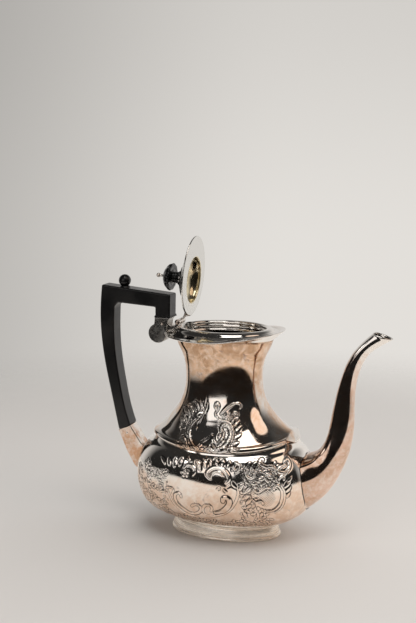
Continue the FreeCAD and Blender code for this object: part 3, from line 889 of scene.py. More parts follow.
BODY_CHASING = Chasing(
    scrolls=(
        (1.25, 0.8, 0.4, ((-22.4, 38.8), (-23.6, 41.8), (-27.2, 41), (-28.9, 37.3), (-27, 32.3),
        (-22.7, 28.2), (-17.7, 24.5), (-12.3, 23.3), (-7.2, 25.7), (-4.8, 30.2), (-6.7, 33.7),
        (-10, 33.7), (-12.9, 31.6))),
        (0.8, 0.5, 0, ((-36.2, 49.4), (-35.9, 44.1), (-33.9, 38.1), (-31.2, 31.6),
        (-25.9, 26.3), (-19.3, 21.6), (-11.9, 20))),
        (1, 0.7, 0.3, ((-2.5, 25.1), (-3.3, 29.6), (-1.1, 33.7), (2.2, 35.1), (4.8, 32.3),
        (3.7, 28.9))),
        (0.9, 0.6, 0.2, ((-2.5, 25.1), (2.8, 23.3), (10, 25.1), (17.5, 29.6), (23, 35.9),
        (26.2, 41.8), (27.7, 48.7), (27.1, 54.7))),
        (1.9, 0.9, 0.35, ((14.7, 39.5), (15.8, 42.6), (18.8, 42.6), (20.2, 38.8), (17.8, 33.7),
        (13.2, 29.6), (7.3, 27.6))),
        (1.7, 0.95, 0.45, ((4.1, 59), (1.5, 61.8), (3.9, 65.6), (9.2, 67.4), (14.7, 65.6),
        (18.2, 62.4), (19.6, 58.3), (17.5, 55.4))),
        (0.9, 0.6, 0, ((4.8, 59.7), (6.2, 63.1), (10.5, 64.3), (14.3, 61.8))),
        (0.9, 0.6, 0.2, ((24.1, 66.2), (22.5, 69.2), (24.1, 71.4), (27.4, 70.3), (27.4, 66.8),
        (25, 64.3))),
        (1.5, 0.9, 0.4, ((46.2, 74.1), (44.4, 75.9), (43.3, 74.1), (45.4, 70.9), (49.7, 69.2),
        (53.9, 69.2), (57.1, 66.8), (58.1, 63.7))),
        (1.5, 0.9, 0.4, ((64.7, 71.4), (66.7, 73.1), (69.1, 70.9), (69.9, 67.4), (67.1, 64.3),
        (62.5, 63.7), (59.8, 65.6), (61.8, 68), (65.4, 69.2))),
        (1.2, 0.8, 0.35, ((56.7, 50.9), (58.6, 53.9), (62.2, 51.7), (63.9, 47.1), (63.3, 41),
        (59.9, 35.1), (54, 31.6), (48.8, 32.3))),
        (0.8, 0.5, 0, ((62.6, 53.9), (65.6, 48.7), (65.8, 41.8), (62.7, 34.4), (56.9, 29.6))),
        (1, 0.7, 0.3, ((40.4, 50.9), (43.2, 48.7), (46.6, 50.2), (50.1, 52.4), (53.4, 51.7))),
        (0.9, 0.6, 0.2, ((39.4, 42.6), (42.4, 40.3), (46.2, 41), (47.6, 38.1))),
        (1, 0.7, 0.3, ((51.6, 56.9), (49.5, 59.7), (50.3, 63.1), (53.6, 62.4), (54.6, 59.7))),
        (1, 0.7, 0.3, ((60.7, 58.3), (62.6, 60.4), (65.7, 61.8), (67.6, 63.7))),
        (0.9, 0.6, 0.2, ((34.5, 66.8), (33.4, 63.7), (35.7, 60.4), (39.1, 60.4), (39.8, 63.7))),
        (0.9, 0.6, 0.2, ((-19.8, 63.7), (-16.6, 66.8), (-11.8, 66.2), (-9.1, 63.1),
        (-11.1, 59))),
        (0.8, 0.5, 0.2, ((-37.3, 44.1), (-33.1, 45.6), (-29.8, 44.1), (-31.2, 40.3))),
        (0.9, 0.6, 0.2, ((-44.3, 38.8), (-39.6, 40.3), (-35.7, 38.8))),
    ),
    leaves=(
        (-5.1, 64.3, -9.3, 70.9), (-0.7, 66.8, -3.7, 73.1), (3.9, 68.6, 1.3, 74.5),
        (8.4, 69.2, 6.6, 75.5), (12.9, 69.2, 12.5, 75.5), (17.8, 68.6, 18.2, 74.5),
        (22, 66.2, 23.7, 73.6), (-39.5, 63.7, -44.8, 68), (-34.1, 63.7, -36.2, 69.2),
        (-28.9, 63.7, -29, 70.3), (-24.1, 65.6, -22.7, 72), (-15.2, 70.3, -18.4, 73.6),
        (32.9, 68, 35.2, 73.6), (36.8, 68, 40.1, 73.6), (41, 66.8, 42.8, 71.4),
        (67.9, 43.3, 69.7, 48.7), (66.8, 47.9, 70.9, 52.4), (66.1, 51.7, 70.5, 56.9),
        (68.7, 56.2, 71.8, 59.7), (65, 57.6, 64.2, 61.8), (12.8, 50.9, 9.8, 49.4),
        (15.8, 50.2, 18.5, 47.9), (20.9, 54.7, 17.7, 51.7), (22.3, 56.2, 25.7, 52.4),
        (31.4, 55.4, 29.1, 50.2), (33.8, 48.7, 37.2, 52.4), (36.3, 45.6, 31.6, 42.6),
        (38, 42.6, 34.6, 38.1),
    ),
    flowers=((-18.4, 59.7, 3.6), (-60.8, 59, 4.2),),
    thickets=(((-84.0, 12.0, -36.0, 58.0), 190), ((30.0, 52.0, 60.0, 70.0), 60),
              ((28.0, 18.0, 52.0, 54.0), 80), ((-34.0, 5.0, 50.0, 19.0), 95)),
    plain=((0.0, 41.0, 24.0, 17.0), (51.0, 43.0, 10.0, 9.5)),
    hatched=((50.0, 43.5, 9.0, 9.0),),
)
NECK_CHASING = Chasing(
    scrolls=(
        (1.2, 0.8, 0.3, ((-15.1, 25.4), (-18.4, 21.8), (-19.9, 16.7), (-18.3, 11.2),
        (-13.9, 6.8), (-8.8, 4.7))),
        (0.8, 0.5, 0.2, ((-25.2, 25.4), (-27.6, 26.9), (-26.3, 29.6), (-22.9, 28.5),
        (-22.9, 24.8), (-24.7, 21.3))),
        (1.6, 0.9, 0.45, ((8.6, 19.8), (8.5, 23.3), (11.5, 24.8), (14.9, 22.8), (16.6, 17.7),
        (15.3, 12.2), (11.7, 7.6), (6.9, 5.9), (2.6, 8.9))),
        (0.9, 0.7, 0.2, ((3.7, 30.7), (8.1, 28), (12.8, 27.5), (16.8, 23.8), (18.5, 17.7),
        (18, 11.2))),
        (1, 0.8, 0.3, ((3.3, 13.2), (6, 10.8), (8.6, 12.2), (10.6, 16.2), (10.5, 19.3))),
        (0.9, 0.7, 0.2, ((3.2, 36.7), (1.2, 39.3), (2.5, 42), (4.6, 40.7), (3.8, 36.7),
        (2.1, 33), (4.7, 30.2))),
        (1.2, 0.8, 0.4, ((6.9, 33.6), (9.9, 37.3), (13.8, 40.7), (18.7, 42.7))),
        (1, 0.7, 0.3, ((18.7, 42.7), (22.1, 42), (22.6, 38.6))),
        (1, 0.7, 0.3, ((16.3, 30.7), (17.2, 34.8), (20.1, 34.8), (21, 32.4))),
        (1.1, 0.8, 0.3, ((-5.2, 40.7), (-5.6, 36.7), (-7.7, 32.4))),
        (1.1, 0.8, 0.3, ((-8.2, 31.9), (-9.6, 28.5), (-11.5, 24.8))),
        (1.1, 0.8, 0.3, ((-11.3, 26.9), (-13.6, 22.8), (-13.6, 19.8))),
        (1.2, 0.8, 0.4, ((-8, 5.3), (-5.7, 10.3), (-1.8, 13.2), (1.1, 16.2))),
        (1.1, 0.8, 0.3, ((-3.2, 4), (0.7, 6.4), (4.6, 4), (8.8, 4))),
        (1.1, 0.8, 0.3, ((9.5, 3.3), (15.3, 5.3), (19.6, 7.6), (25, 5.9))),
    ),
    leaves=(
        (15.8, 26.4, 18.8, 30.2), (17.7, 23.3, 21.9, 28), (19.1, 19.8, 23.9, 23.8),
        (19.9, 15.2, 24.9, 18.2), (19.7, 10.8, 24.4, 11.7), (18.1, 6.4, 23.6, 4.7),
        (-13.3, 35.4, -18.1, 41.3), (-9.6, 36.7, -12.8, 41.3), (-19, 31.3, -23.9, 36.7),
        (-21.9, 28.5, -30.7, 33.6), (-16.1, 33.6, -21.2, 38.6), (-7.7, 39.3, -7.1, 44.9),
        (-20.8, 6.4, -27.6, 10.8), (-16.5, 2.2, -22.5, 5.3), (-26.2, 0, -30.7, 4.7),
        (-6.6, 34.8, -10.4, 36.7), (-8.7, 29.6, -13.6, 29.6),
    ),
    flowers=((-12.4, 37.3, 3), (-22, 32.4, 3),),
    thickets=(((-32.0, 6.0, -18.0, 40.0), 26), ((6.0, 6.0, 22.0, 34.0), 14)),
    plain=((-5.5, 20.0, 9.0, 11.0),),
)


# ---- panelled shells -------------------------------------------------------------------
LEDGE_HALF = 57.0    # half length of the ledge
LEDGE_DIP = 3.9      # how far the ledge's middle lies below its ends
LEDGE_DROP = 0.8     # lowering of the whole ledge
BEAK_RISE = 3.6      # height of the point beside the spout
BEAK_REACH = 0.8     # how far the point leans outward


def ledge_warp(grid: Points, low: float, crest: float, high: float) -> Points:
    """Let the ledge dip at the panel's middle and rise to a point beside the spout.

    Args:
        grid: Points.
        low: Height where the warp starts.
        crest: Height where it is full.
        high: Height where it has faded out again.

    Returns:
        Moved points.
    """
    x, y, z = grid[..., 0], grid[..., 1], grid[..., 2]
    share = np.clip(x / LEDGE_HALF, -1.0, 1.0)
    up = np.clip((z - low) / (crest - low), 0.0, 1.0)
    down = np.clip((high - z) / (high - crest), 0.0, 1.0)
    fade = (up * down) ** 1.5
    past = np.clip((x - LEDGE_HALF - 0.5) / 5.0, 0.0, 1.0)
    beak = np.clip(share, 0.0, 1.0) ** 6 * (1.0 - 0.9 * past)
    rise = LEDGE_DIP * (share ** 2 - 1.0) - LEDGE_DROP + BEAK_RISE * beak
    return np.stack([x + BEAK_REACH * fade * beak, y, z + fade * rise], axis=-1)


FRONT_ARC = math.radians(65.0)
END_ARC = math.radians(25.0)


def arc_bow(angle: Points, arc: float) -> Points:
    """Share of a panel's bulge: 1 at the middle of its arc, 0 at the crease."""
    return (np.cos(angle) - math.cos(arc)) / (1.0 - math.cos(arc))


class Half(Enum):
    """Front or back half of a panelled shell."""

    FRONT = -1
    BACK = 1


@dataclass
class PanelShell:
    """Oval shell of four bowed panels that meet at creases.

    Stations are (z, centre x, corner x, corner y, end x, front y). warp holds the heights
    for ledge_warp, and chasing the ornament of the front and back panels.
    """

    stations: tuple
    warp: tuple
    chasing: Chasing
    wall: float = 1.0
    rows: int = 200
    inner_rows: int = 22
    front_columns: int = 470
    end_columns: int = 42

    def sections(self, rows: int) -> Points:
        """Stations spread evenly along the profile.

        Args:
            rows: Number of sections.

        Returns:
            Section sizes, one per row.
        """
        return smooth_path(np.array(self.stations, float), rows)

    def half_grid(self, table: Points, half: Half) -> tuple:
        """Points of one half, from the spout end round to the handle end.

        Args:
            table: Section sizes.
            half: Which half.

        Returns:
            (points, distance s along each section from the panel's middle).
        """
        z, xc, cx, cy, ex, fy = (table[:, k][:, None] for k in range(6))
        a_end = np.linspace(0.0, END_ARC, self.end_columns, endpoint=False)[None, :]
        a_front = np.linspace(-FRONT_ARC, FRONT_ARC, self.front_columns)[None, :]

        def end_panel(angle: Points, side: int) -> tuple:
            """x and y on an end panel."""
            return (xc + side * (cx + (ex - cx) * arc_bow(angle, END_ARC)),
                    cy * np.sin(angle) / math.sin(END_ARC))

        x_front = xc - cx * np.sin(a_front) / math.sin(FRONT_ARC)
        y_front = cy + (fy - cy) * arc_bow(a_front, FRONT_ARC)
        x_start, y_start = end_panel(a_end, 1)
        x_stop, y_stop = end_panel(a_end[:, ::-1], -1)
        x = np.concatenate([x_start, x_front, x_stop], axis=1)
        y = half.value * np.concatenate([y_start, y_front, y_stop], axis=1)
        grid = np.stack([x, y, np.broadcast_to(z, x.shape)], axis=-1)
        run = np.linalg.norm(np.diff(grid, axis=1), axis=2)
        s = np.concatenate([np.zeros((len(table), 1)), np.cumsum(run, axis=1)], axis=1)
        middle = self.end_columns + self.front_columns // 2
        return grid, s[:, middle][:, None] - s

    def profile_run(self, table: Points) -> Points:
        """Distance up the middle of the front panel, per section."""
        steps = np.hypot(np.diff(table[:, 0]), np.diff(table[:, 5]))
        return np.concatenate([[0.0], np.cumsum(steps)])

    def outward(self, grid: Points, half: Half) -> Points:
        """Unit normals of one half that point away from the pot."""
        normal = surface_normals(grid, False)
        return normal * (-1.0 if float((normal[:, :, 1] * half.value).mean()) < 0.0 else 1.0)

    def build(self, name: str, half: Half) -> bpy.types.Object:
        """Closed half shell with its ornament.

        Args:
            name: Piece name.
            half: Which half.

        Returns:
            The linked object, with relief and ground stored on the mesh.
        """
        table = self.sections(self.rows)
        grid, s = self.half_grid(table, half)
        w = np.broadcast_to(self.profile_run(table)[:, None], s.shape)
        height, ground = self.chasing.press(s, w)
        outer = ledge_warp(grid, *self.warp)
        outer = outer + self.outward(outer, half) * height[:, :, None]
        inner = self.half_grid(self.sections(self.inner_rows), half)[0]
        inner = ledge_warp(inner, *self.warp) - self.outward(inner, half) * self.wall
        points = np.concatenate([outer, inner[::-1]], axis=0)
        if half is Half.BACK:
            points = points[:, ::-1]
            height, ground = height[:, ::-1], ground[:, ::-1]
        obj = grid_object(name, points, wrap_cols=False, wrap_rows=True)
        # inside marks the inner wall, which the chased finish paints with dark shade.
        for key, values, rest in (("relief", height, 0.0), ("ground", ground, 0.0),
                                  ("inside", np.zeros(height.shape), 1.0)):
            store = np.full(points.shape[:2], rest, np.float32)
            store[:self.rows] = values
            item = obj.data.attributes.new(key, "FLOAT", "POINT")
            item.data.foreach_set("value", store.ravel())
        return obj


LOWER_BODY = PanelShell(
    warp=(72.0, 84.3, 120.0), chasing=BODY_CHASING, stations=(
        (14.0, 0.0, 42.5, 12.1, 47.1, 28.6), (15.8, 0.0, 51.3, 16.0, 56.3, 34.4),
        (20.0, 0.0, 58.8, 19.4, 64.6, 40.5), (28.0, 0.0, 66.4, 22.3, 73.1, 47.0),
        (39.0, 0.0, 70.1, 24.4, 78.1, 51.0), (51.0, 0.0, 71.0, 25.0, 79.5, 52.5),
        (62.0, 0.0, 69.6, 24.5, 77.9, 51.7), (71.0, 0.0, 66.1, 22.5, 73.5, 49.4),
        (78.0, 0.0, 61.4, 19.6, 67.7, 46.2), (81.0, 0.0, 58.4, 18.1, 64.1, 44.6),
        (84.3, 0.0, 57.0, 17.6, 62.4, 43.9)))
NECK = PanelShell(
    warp=(60.0, 86.0, 103.0), chasing=NECK_CHASING, front_columns=400, stations=(
        (84.0, 0.0, 56.4, 17.4, 61.6, 43.6), (85.0, 0.0, 57.6, 17.9, 62.8, 45.0),
        (86.6, 0.0, 58.9, 18.3, 63.9, 46.3), (87.6, 0.0, 58.6, 18.2, 63.6, 46.0),
        (89.0, -0.05, 56.2, 17.7, 61.4, 43.9), (91.5, -0.3, 52.2, 17.1, 57.8, 41.0),
        (96.0, -0.7, 46.7, 16.4, 52.8, 36.6), (103.0, -1.3, 40.1, 15.4, 45.7, 31.9),
        (112.0, -1.8, 34.0, 14.3, 38.9, 28.1), (122.0, -2.0, 30.5, 13.5, 34.8, 25.8),
        (134.0, -2.0, 29.2, 13.0, 33.2, 24.6), (146.0, -2.0, 29.9, 13.0, 33.8, 25.1),
        (156.0, -2.0, 32.8, 13.0, 36.8, 27.0), (162.0, -2.0, 36.0, 13.0, 39.9, 29.1),
        (168.5, -2.0, 38.4, 12.9, 42.4, 30.6)))


# ---- assemblies ------------------------------------------------------------------------
class Assembly:
    """Common work of the sub-assemblies: riding, finishes and the log."""

    body = "pot"

    def __init__(self, paints: Paints) -> None:
        """Keep the shared paints."""
        self.paints = paints

    def keep(self, obj: bpy.types.Object, finish: Finish, slot: str,
             *nodes: str) -> bpy.types.Object:
        """Finish a piece, tie it to its body, hide the frame nodes it replaces and log its name,
        faces and finish.

        Args:
            obj: The piece.
            finish: Its finish.
            slot: Not used.
            nodes: Frame nodes it replaces.

        Returns:
            The same object.
        """
        self.paints.on(obj, finish)
        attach(obj, self.body)
        if nodes:
            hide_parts(*nodes)
        LOG.info("%s: %d faces, finish %s", obj.name, len(obj.data.polygons), finish.name.lower())
        return obj


@dataclass
class Foot:
    """Oval foot band."""

    half_x: float = 48.5
    half_y: float = 30.0

    def build(self, group: Assembly) -> None:
        """Build the band."""
        profile = rounded_profile(
            [(-1.9, 0.0), (-0.9, 0.0), (-0.1, 0.5), (0.0, 1.5), (-0.5, 2.5), (-1.3, 2.9),
             (-1.7, 6.0), (-2.5, 9.3), (-2.9, 9.9), (-2.0, 10.5), (-1.9, 11.4), (-2.6, 12.0),
             (-2.7, 12.8), (-5.3, 12.8), (-4.2, 8.0), (-3.3, 4.0)], 0.5, 4)
        grid = oval_sweep(0.0, self.half_x, self.half_y, [(a, b, 0) for a, b in profile], 320)
        group.keep(grid_object("foot_band", grid, wrap_rows=True), Finish.FOOT, "foot_ring",
                   "foot_ring")


@dataclass
class Rim:
    """Moulded mount round the mouth and the ledge for the lid."""

    centre: float = -2.0
    reach: float = 52.0
    seat_x: float = 34.75
    seat_y: float = 26.5
    lift: float = 6.2
    notch_x: tuple = (-40.2, -29.5)
    notch_y: float = 11.0
    notch_z: float = 170.6

    def cut_notch(self, grid: Points) -> Points:
        """Lower the bead where the hinge leaf drops in."""
        x, y, z = grid[..., 0], grid[..., 1], grid[..., 2]
        room = (x > self.notch_x[0]) & (x < self.notch_x[1]) & (np.abs(y) < self.notch_y)
        z[...] = np.where(room & (z > self.notch_z), self.notch_z, z)
        return grid

    def build(self, group: Assembly) -> None:
        """Build the mount and the ledge."""
        edge = self.reach - self.seat_x
        flat = rounded_profile(
            [(1.2, 168.0), (7.0, 168.3), (edge - 3.2, 169.6), (edge - 0.5, 170.3),
             (edge, 170.8), (edge - 0.1, 171.3), (edge - 0.8, 171.5), (edge - 3.5, 171.9),
             (11.4, 173.0), (9.0, 174.3), (8.0, 175.1), (7.3, 176.3), (6.0, 177.4),
             (4.4, 177.95), (3.0, 178.0), (1.9, 177.7), (1.3, 177.0), (1.2, 175.5)], 0.9, 5)
        shares = np.interp([a for a, _ in flat], [6.5, 8.0, 11.4, edge - 3.5, edge],
                           [0.0, 0.05, 0.34, 0.76, 1.0])
        grid = oval_sweep(self.centre, self.seat_x, self.seat_y,
                          [(a, b, c) for (a, b), c in zip(flat, shares)], 420, self.lift)
        group.keep(grid_object("rim_mount_moulded", self.cut_notch(grid), wrap_rows=True),
                   Finish.RIM, "rim_mount", "rim_mount")
        ledge = rounded_profile([(-3.0, 169.8), (-3.0, 171.0), (0.0, 171.0), (0.1, 172.0),
                                 (0.2, 174.9), (1.2, 175.0), (1.2, 169.8)], 0.4, 3)
        grid = oval_sweep(self.centre, self.seat_x, self.seat_y, [(a, b, 0) for a, b in ledge], 320)
        group.keep(grid_object("lid_ledge", self.cut_notch(grid), wrap_rows=True), Finish.RIM,
                   "lid_seat", "lid_seat")


@dataclass
class Spout:
    """Swan-neck spout with a creased flat towards the pot.

    Stations are inner x, z, outer x, z and half width.
    """

    wall: float = 1.0
    corner: float = 122.0
    sections: int = 230
    stations: tuple = (
        (56.0, 78.5, 53.0, 15.5, 24.0), (69.0, 81.0, 71.0, 26.5, 22.5),
        (78.0, 83.2, 88.5, 42.0, 18.2), (83.2, 88.8, 99.8, 60.5, 14.6),
        (86.2, 97.0, 107.0, 79.5, 12.2), (88.2, 106.5, 110.0, 97.0, 10.6),
        (90.6, 117.5, 110.5, 113.0, 9.6), (93.8, 130.5, 110.6, 126.5, 8.7),
        (97.4, 142.5, 111.8, 138.5, 8.0), (101.8, 154.4, 114.6, 149.6, 7.5),
        (107.4, 164.4, 118.2, 157.6, 7.1), (112.8, 171.1, 122.6, 163.6, 6.8),
        (118.2, 176.8, 129.6, 169.2, 6.5), (121.9, 180.4, 136.0, 173.2, 6.2),
        (122.7, 181.3, 140.4, 176.1, 5.9))

    def ring(self, table: Points, inset: Points) -> Points:
        """Sections as a grid.

        Args:
            table: Section sizes.
            inset: Inward offset, per section.

        Returns:
            Grid of points.
        """
        ix, iz, ox, oz, half = (table[:, k][:, None] for k in range(5))
        depth = np.hypot(ox - ix, oz - iz)
        dx, dz = (ox - ix) / depth, (oz - iz) / depth
        inset = inset[:, None]
        ix, iz, depth, half = ix + dx * inset, iz + dz * inset, depth - 2 * inset, half - inset
        corner = math.radians(self.corner)
        start, side = 0.5 + 0.5 * math.cos(corner), math.sin(corner)
        t = np.linspace(1.0, -1.0, 22, endpoint=False)
        face_along, face_across = start * (0.52 + 0.48 * np.abs(t) ** 2.2), side * t
        angle = np.linspace(-corner, corner, 74, endpoint=False)
        along = np.concatenate([face_along, 0.5 + 0.5 * np.cos(angle)])[None, :]
        across = np.concatenate([face_across, np.sin(angle)])[None, :]
        return np.stack(np.broadcast_arrays(ix + dx * depth * along, half * across,
                                            iz + dz * depth * along), axis=-1)

    def build(self, group: Assembly) -> None:
        """Build the tube with its open mouth."""
        table = smooth_path(np.array(self.stations), self.sections)
        share = np.linspace(0.0, 1.0, len(table))
        lip = 0.35 * np.exp(-((share - 0.993) / 0.006) ** 2)
        outer = self.ring(table, -lip)
        inner = self.ring(table[::4], np.full(len(table[::4]), self.wall))
        points = np.concatenate([outer, inner[::-1]], axis=0)
        group.keep(grid_object("swan_spout", points, wrap_rows=True), Finish.SPOUT, "spout",
                   "spout")
        # Dark wire along the joint: painted shadow of the step between spout and body, on a solder
        # bead.
        seam = wire_along("spout_solder_shadow_line", solder_shadow_line(LOWER_BODY, self), 0.75)
        group.keep(seam, Finish.SOLDER_SHADOW, "spout")


def solder_shadow_line(shell: PanelShell, spout: Spout) -> Points:
    """Closed line where the spout leaves the body.

    Args:
        shell: Lower body.
        spout: Spout.

    Returns:
        Points along the line.
    """
    sizes = np.array(shell.stations, float)
    table = smooth_path(np.array(spout.stations), spout.sections)[:spout.sections // 2 + 5]
    grid = spout.ring(table, np.zeros(len(table)))
    x, y, z = grid[..., 0], grid[..., 1], grid[..., 2]
    cx, cy, ex, fy = (np.interp(z, sizes[:, 0], sizes[:, k]) for k in (2, 3, 4, 5))
    angle = np.arcsin(np.clip(np.abs(y) / cy, 0, 1) * math.sin(END_ARC))
    end_x = cx + (ex - cx) * arc_bow(angle, END_ARC)
    angle = np.arcsin(np.clip(x / cx, -1, 1) * math.sin(FRONT_ARC))
    front_y = cy + (fy - cy) * arc_bow(angle, FRONT_ARC)
    inside = np.where(np.abs(y) <= cy, x < end_x, (x < cx) & (np.abs(y) < front_y))
    last = np.array([np.nonzero(column)[0].max() if column.any() else 0 for column in inside.T])
    line = grid[last, np.arange(grid.shape[1])]
    for _ in range(3):
        line = 0.5 * line + 0.25 * (np.roll(line, 1, axis=0) + np.roll(line, -1, axis=0))
    return line


def wire_along(name: str, line: Points, radius: float) -> bpy.types.Object:
    """Round wire along a closed line.

    Args:
        name: Piece name.
        line: Points along it.
        radius: Wire radius.

    Returns:
        The linked object.
    """
    along = np.roll(line, -1, axis=0) - np.roll(line, 1, axis=0)
    along /= np.linalg.norm(along, axis=1, keepdims=True)
    out = np.cross(along, (1.0, 0.0, 0.0))
    out /= np.linalg.norm(out, axis=1, keepdims=True)
    up = np.cross(along, out)
    angle = np.linspace(0.0, TAU, 10, endpoint=False)[None, :, None]
    grid = line[:, None] + radius * (np.cos(angle) * out[:, None] + np.sin(angle) * up[:, None])
    return grid_object(name, grid, wrap_rows=True)


@dataclass
class HandleGroup:
    """Squared handle, its sockets, the thumb rest and the strap."""

    half: float = 7.5
    socket_half: float = 7.0
    scroll: tuple = (-60.4, 169.4, 8.3)
    upper_pin: tuple = (-56.3, 177.8)
    lower_pin: tuple = (-90.0, 78.9)

    def grip_outline(self) -> Points:
        """Side view of the handle."""
        outer = smooth_path(np.array([(-112.0, 209.2), (-113.7, 188.6), (-113.2, 165.7),
                                      (-110.2, 142.0), (-104.8, 115.5), (-97.6, 81.6)]), 40)
        inner = smooth_path(np.array([(-86.6, 86.2), (-91.0, 100.0), (-95.6, 122.0),
                                      (-99.4, 146.0), (-100.9, 170.0), (-100.3, 190.6)]), 40)
        corners = np.array([(-97.0, 194.2), (-62.2, 192.0), (-62.2, 183.6), (-48.8, 183.6),
                            (-48.4, 203.4)])
        return np.concatenate([outer, inner, corners])

    def socket_outline(self) -> Points:
        """Side view of the upper socket with its round scroll."""
        cx, cz, r = self.scroll
        angle = np.radians(np.linspace(112.0, 338.0, 46))
        arc = np.column_stack([cx + r * np.cos(angle), cz + r * np.sin(angle)])
        start = np.array([(-62.9, 183.2), (-63.1, 179.5)])
        end = np.array([(-51.9, 170.5), (-51.5, 175.0), (-51.2, 180.0), (-49.3, 183.2)])
        return np.concatenate([start, arc, end])

    def build(self, group: Assembly) -> None:
        """Build and dress every piece of the handle."""
        bar = bar_object("squared_handle", self.grip_outline(), self.half, 1.3, 4)
        group.keep(bar, Finish.HANDLE, "handle", "handle")
        for k, (z, grow, tall) in enumerate(((183.25, 0.75, 0.85), (184.15, 0.35, 0.85))):
            collar = bar_object(f"handle_collar_{k}", np.array([
                (-62.2 - grow, z), (-48.8 + grow, z), (-48.8 + grow, z + tall),
                (-62.2 - grow, z + tall)]), self.half + 0.5 * grow, 0.35, 3)
            group.keep(collar, Finish.HANDLE, "handle")
        socket = bar_object("upper_socket_scroll", self.socket_outline(), self.socket_half, 1.5, 5)
        group.keep(socket, Finish.WORN, "upper_socket", "upper_socket")
        lower = bar_object("lower_socket_taper", np.array([
            (-98.0, 81.4), (-97.7, 80.4), (-90.0, 62.5), (-83.0, 50.4), (-81.0, 48.6),
            (-72.0, 46.5), (-70.0, 60.0), (-76.0, 70.0), (-86.3, 85.0), (-86.2, 86.3)]),
            self.socket_half, 0.9, 4)
        group.keep(lower, Finish.SOCKET, "lower_socket", "lower_socket")
        strap = bar_object("upper_strap_moulded", np.array([
            (-52.6, 177.6), (-50.6, 177.9), (-48.6, 176.9), (-46.2, 177.2), (-43.5, 176.9),
            (-41.6, 175.8), (-44.0, 174.6), (-48.6, 172.2), (-52.4, 171.4)]), 5.0, 0.7, 4)
        group.keep(strap, Finish.FITTING, "upper_strap", "upper_strap")
        ball = rounded_profile([(0.001, -1.1), (5.2, -1.1), (4.7, 0.2), (3.0, 1.3), (2.3, 1.7)],
                               0.5, 4)
        arc = np.radians(np.linspace(-62.0, 90.0, 26))
        ball += [(5.3 * math.cos(a) + 1e-3, 5.3 + 5.3 * math.sin(a)) for a in arc]
        ball = [p for p in ball if not (p[0] < 2.2 and -0.5 < p[1] < 9.0)]
        rest = turned_object("thumb_ball", ball, (-93.2, 0.0, 207.5), 56)
        group.keep(rest, Finish.HANDLE, "thumb_rest", "thumb_rest")
        for node, place in (("upper_socket_pin", self.upper_pin), ("lower_socket_pin",
                                                                   self.lower_pin)):
            pin = rounded_rod(f"{node}_riveted", place, 1.1, -7.15, 7.15, 0.5)
            group.keep(pin, Finish.FITTING, node, node)

    def hinge(self, group: Assembly, place: tuple = (-42.0, 180.2)) -> None:
        """Outer knuckles on their plate, and the pin."""
        x, z = place
        for tag, low in (("front", -7.45), ("back", 2.95)):
            knuckle = rounded_rod(f"hinge_knuckle_{tag}", place, 2.3, low, low + 4.5, 0.4, 1.0)
            group.keep(knuckle, Finish.FITTING, "hinge_knuckles", "hinge_knuckles")
            leg = bar_object(f"hinge_leg_{tag}", np.array([
                (x - 1.9, z - 0.4), (x - 1.9, z - 4.6), (x + 0.9, z - 4.4), (x + 1.2, z - 1.2)]),
                2.15, 0.3, 3)
            leg.data.transform(Matrix.Translation((0.0, (low + 2.25) * MM, 0.0)))
            group.keep(leg, Finish.FITTING, "hinge_knuckles")
        pin = rounded_rod("hinge_pin_riveted", place, 0.98, -7.85, 7.85, 0.4)
        group.keep(pin, Finish.FITTING, "hinge_pin", "hinge_pin")


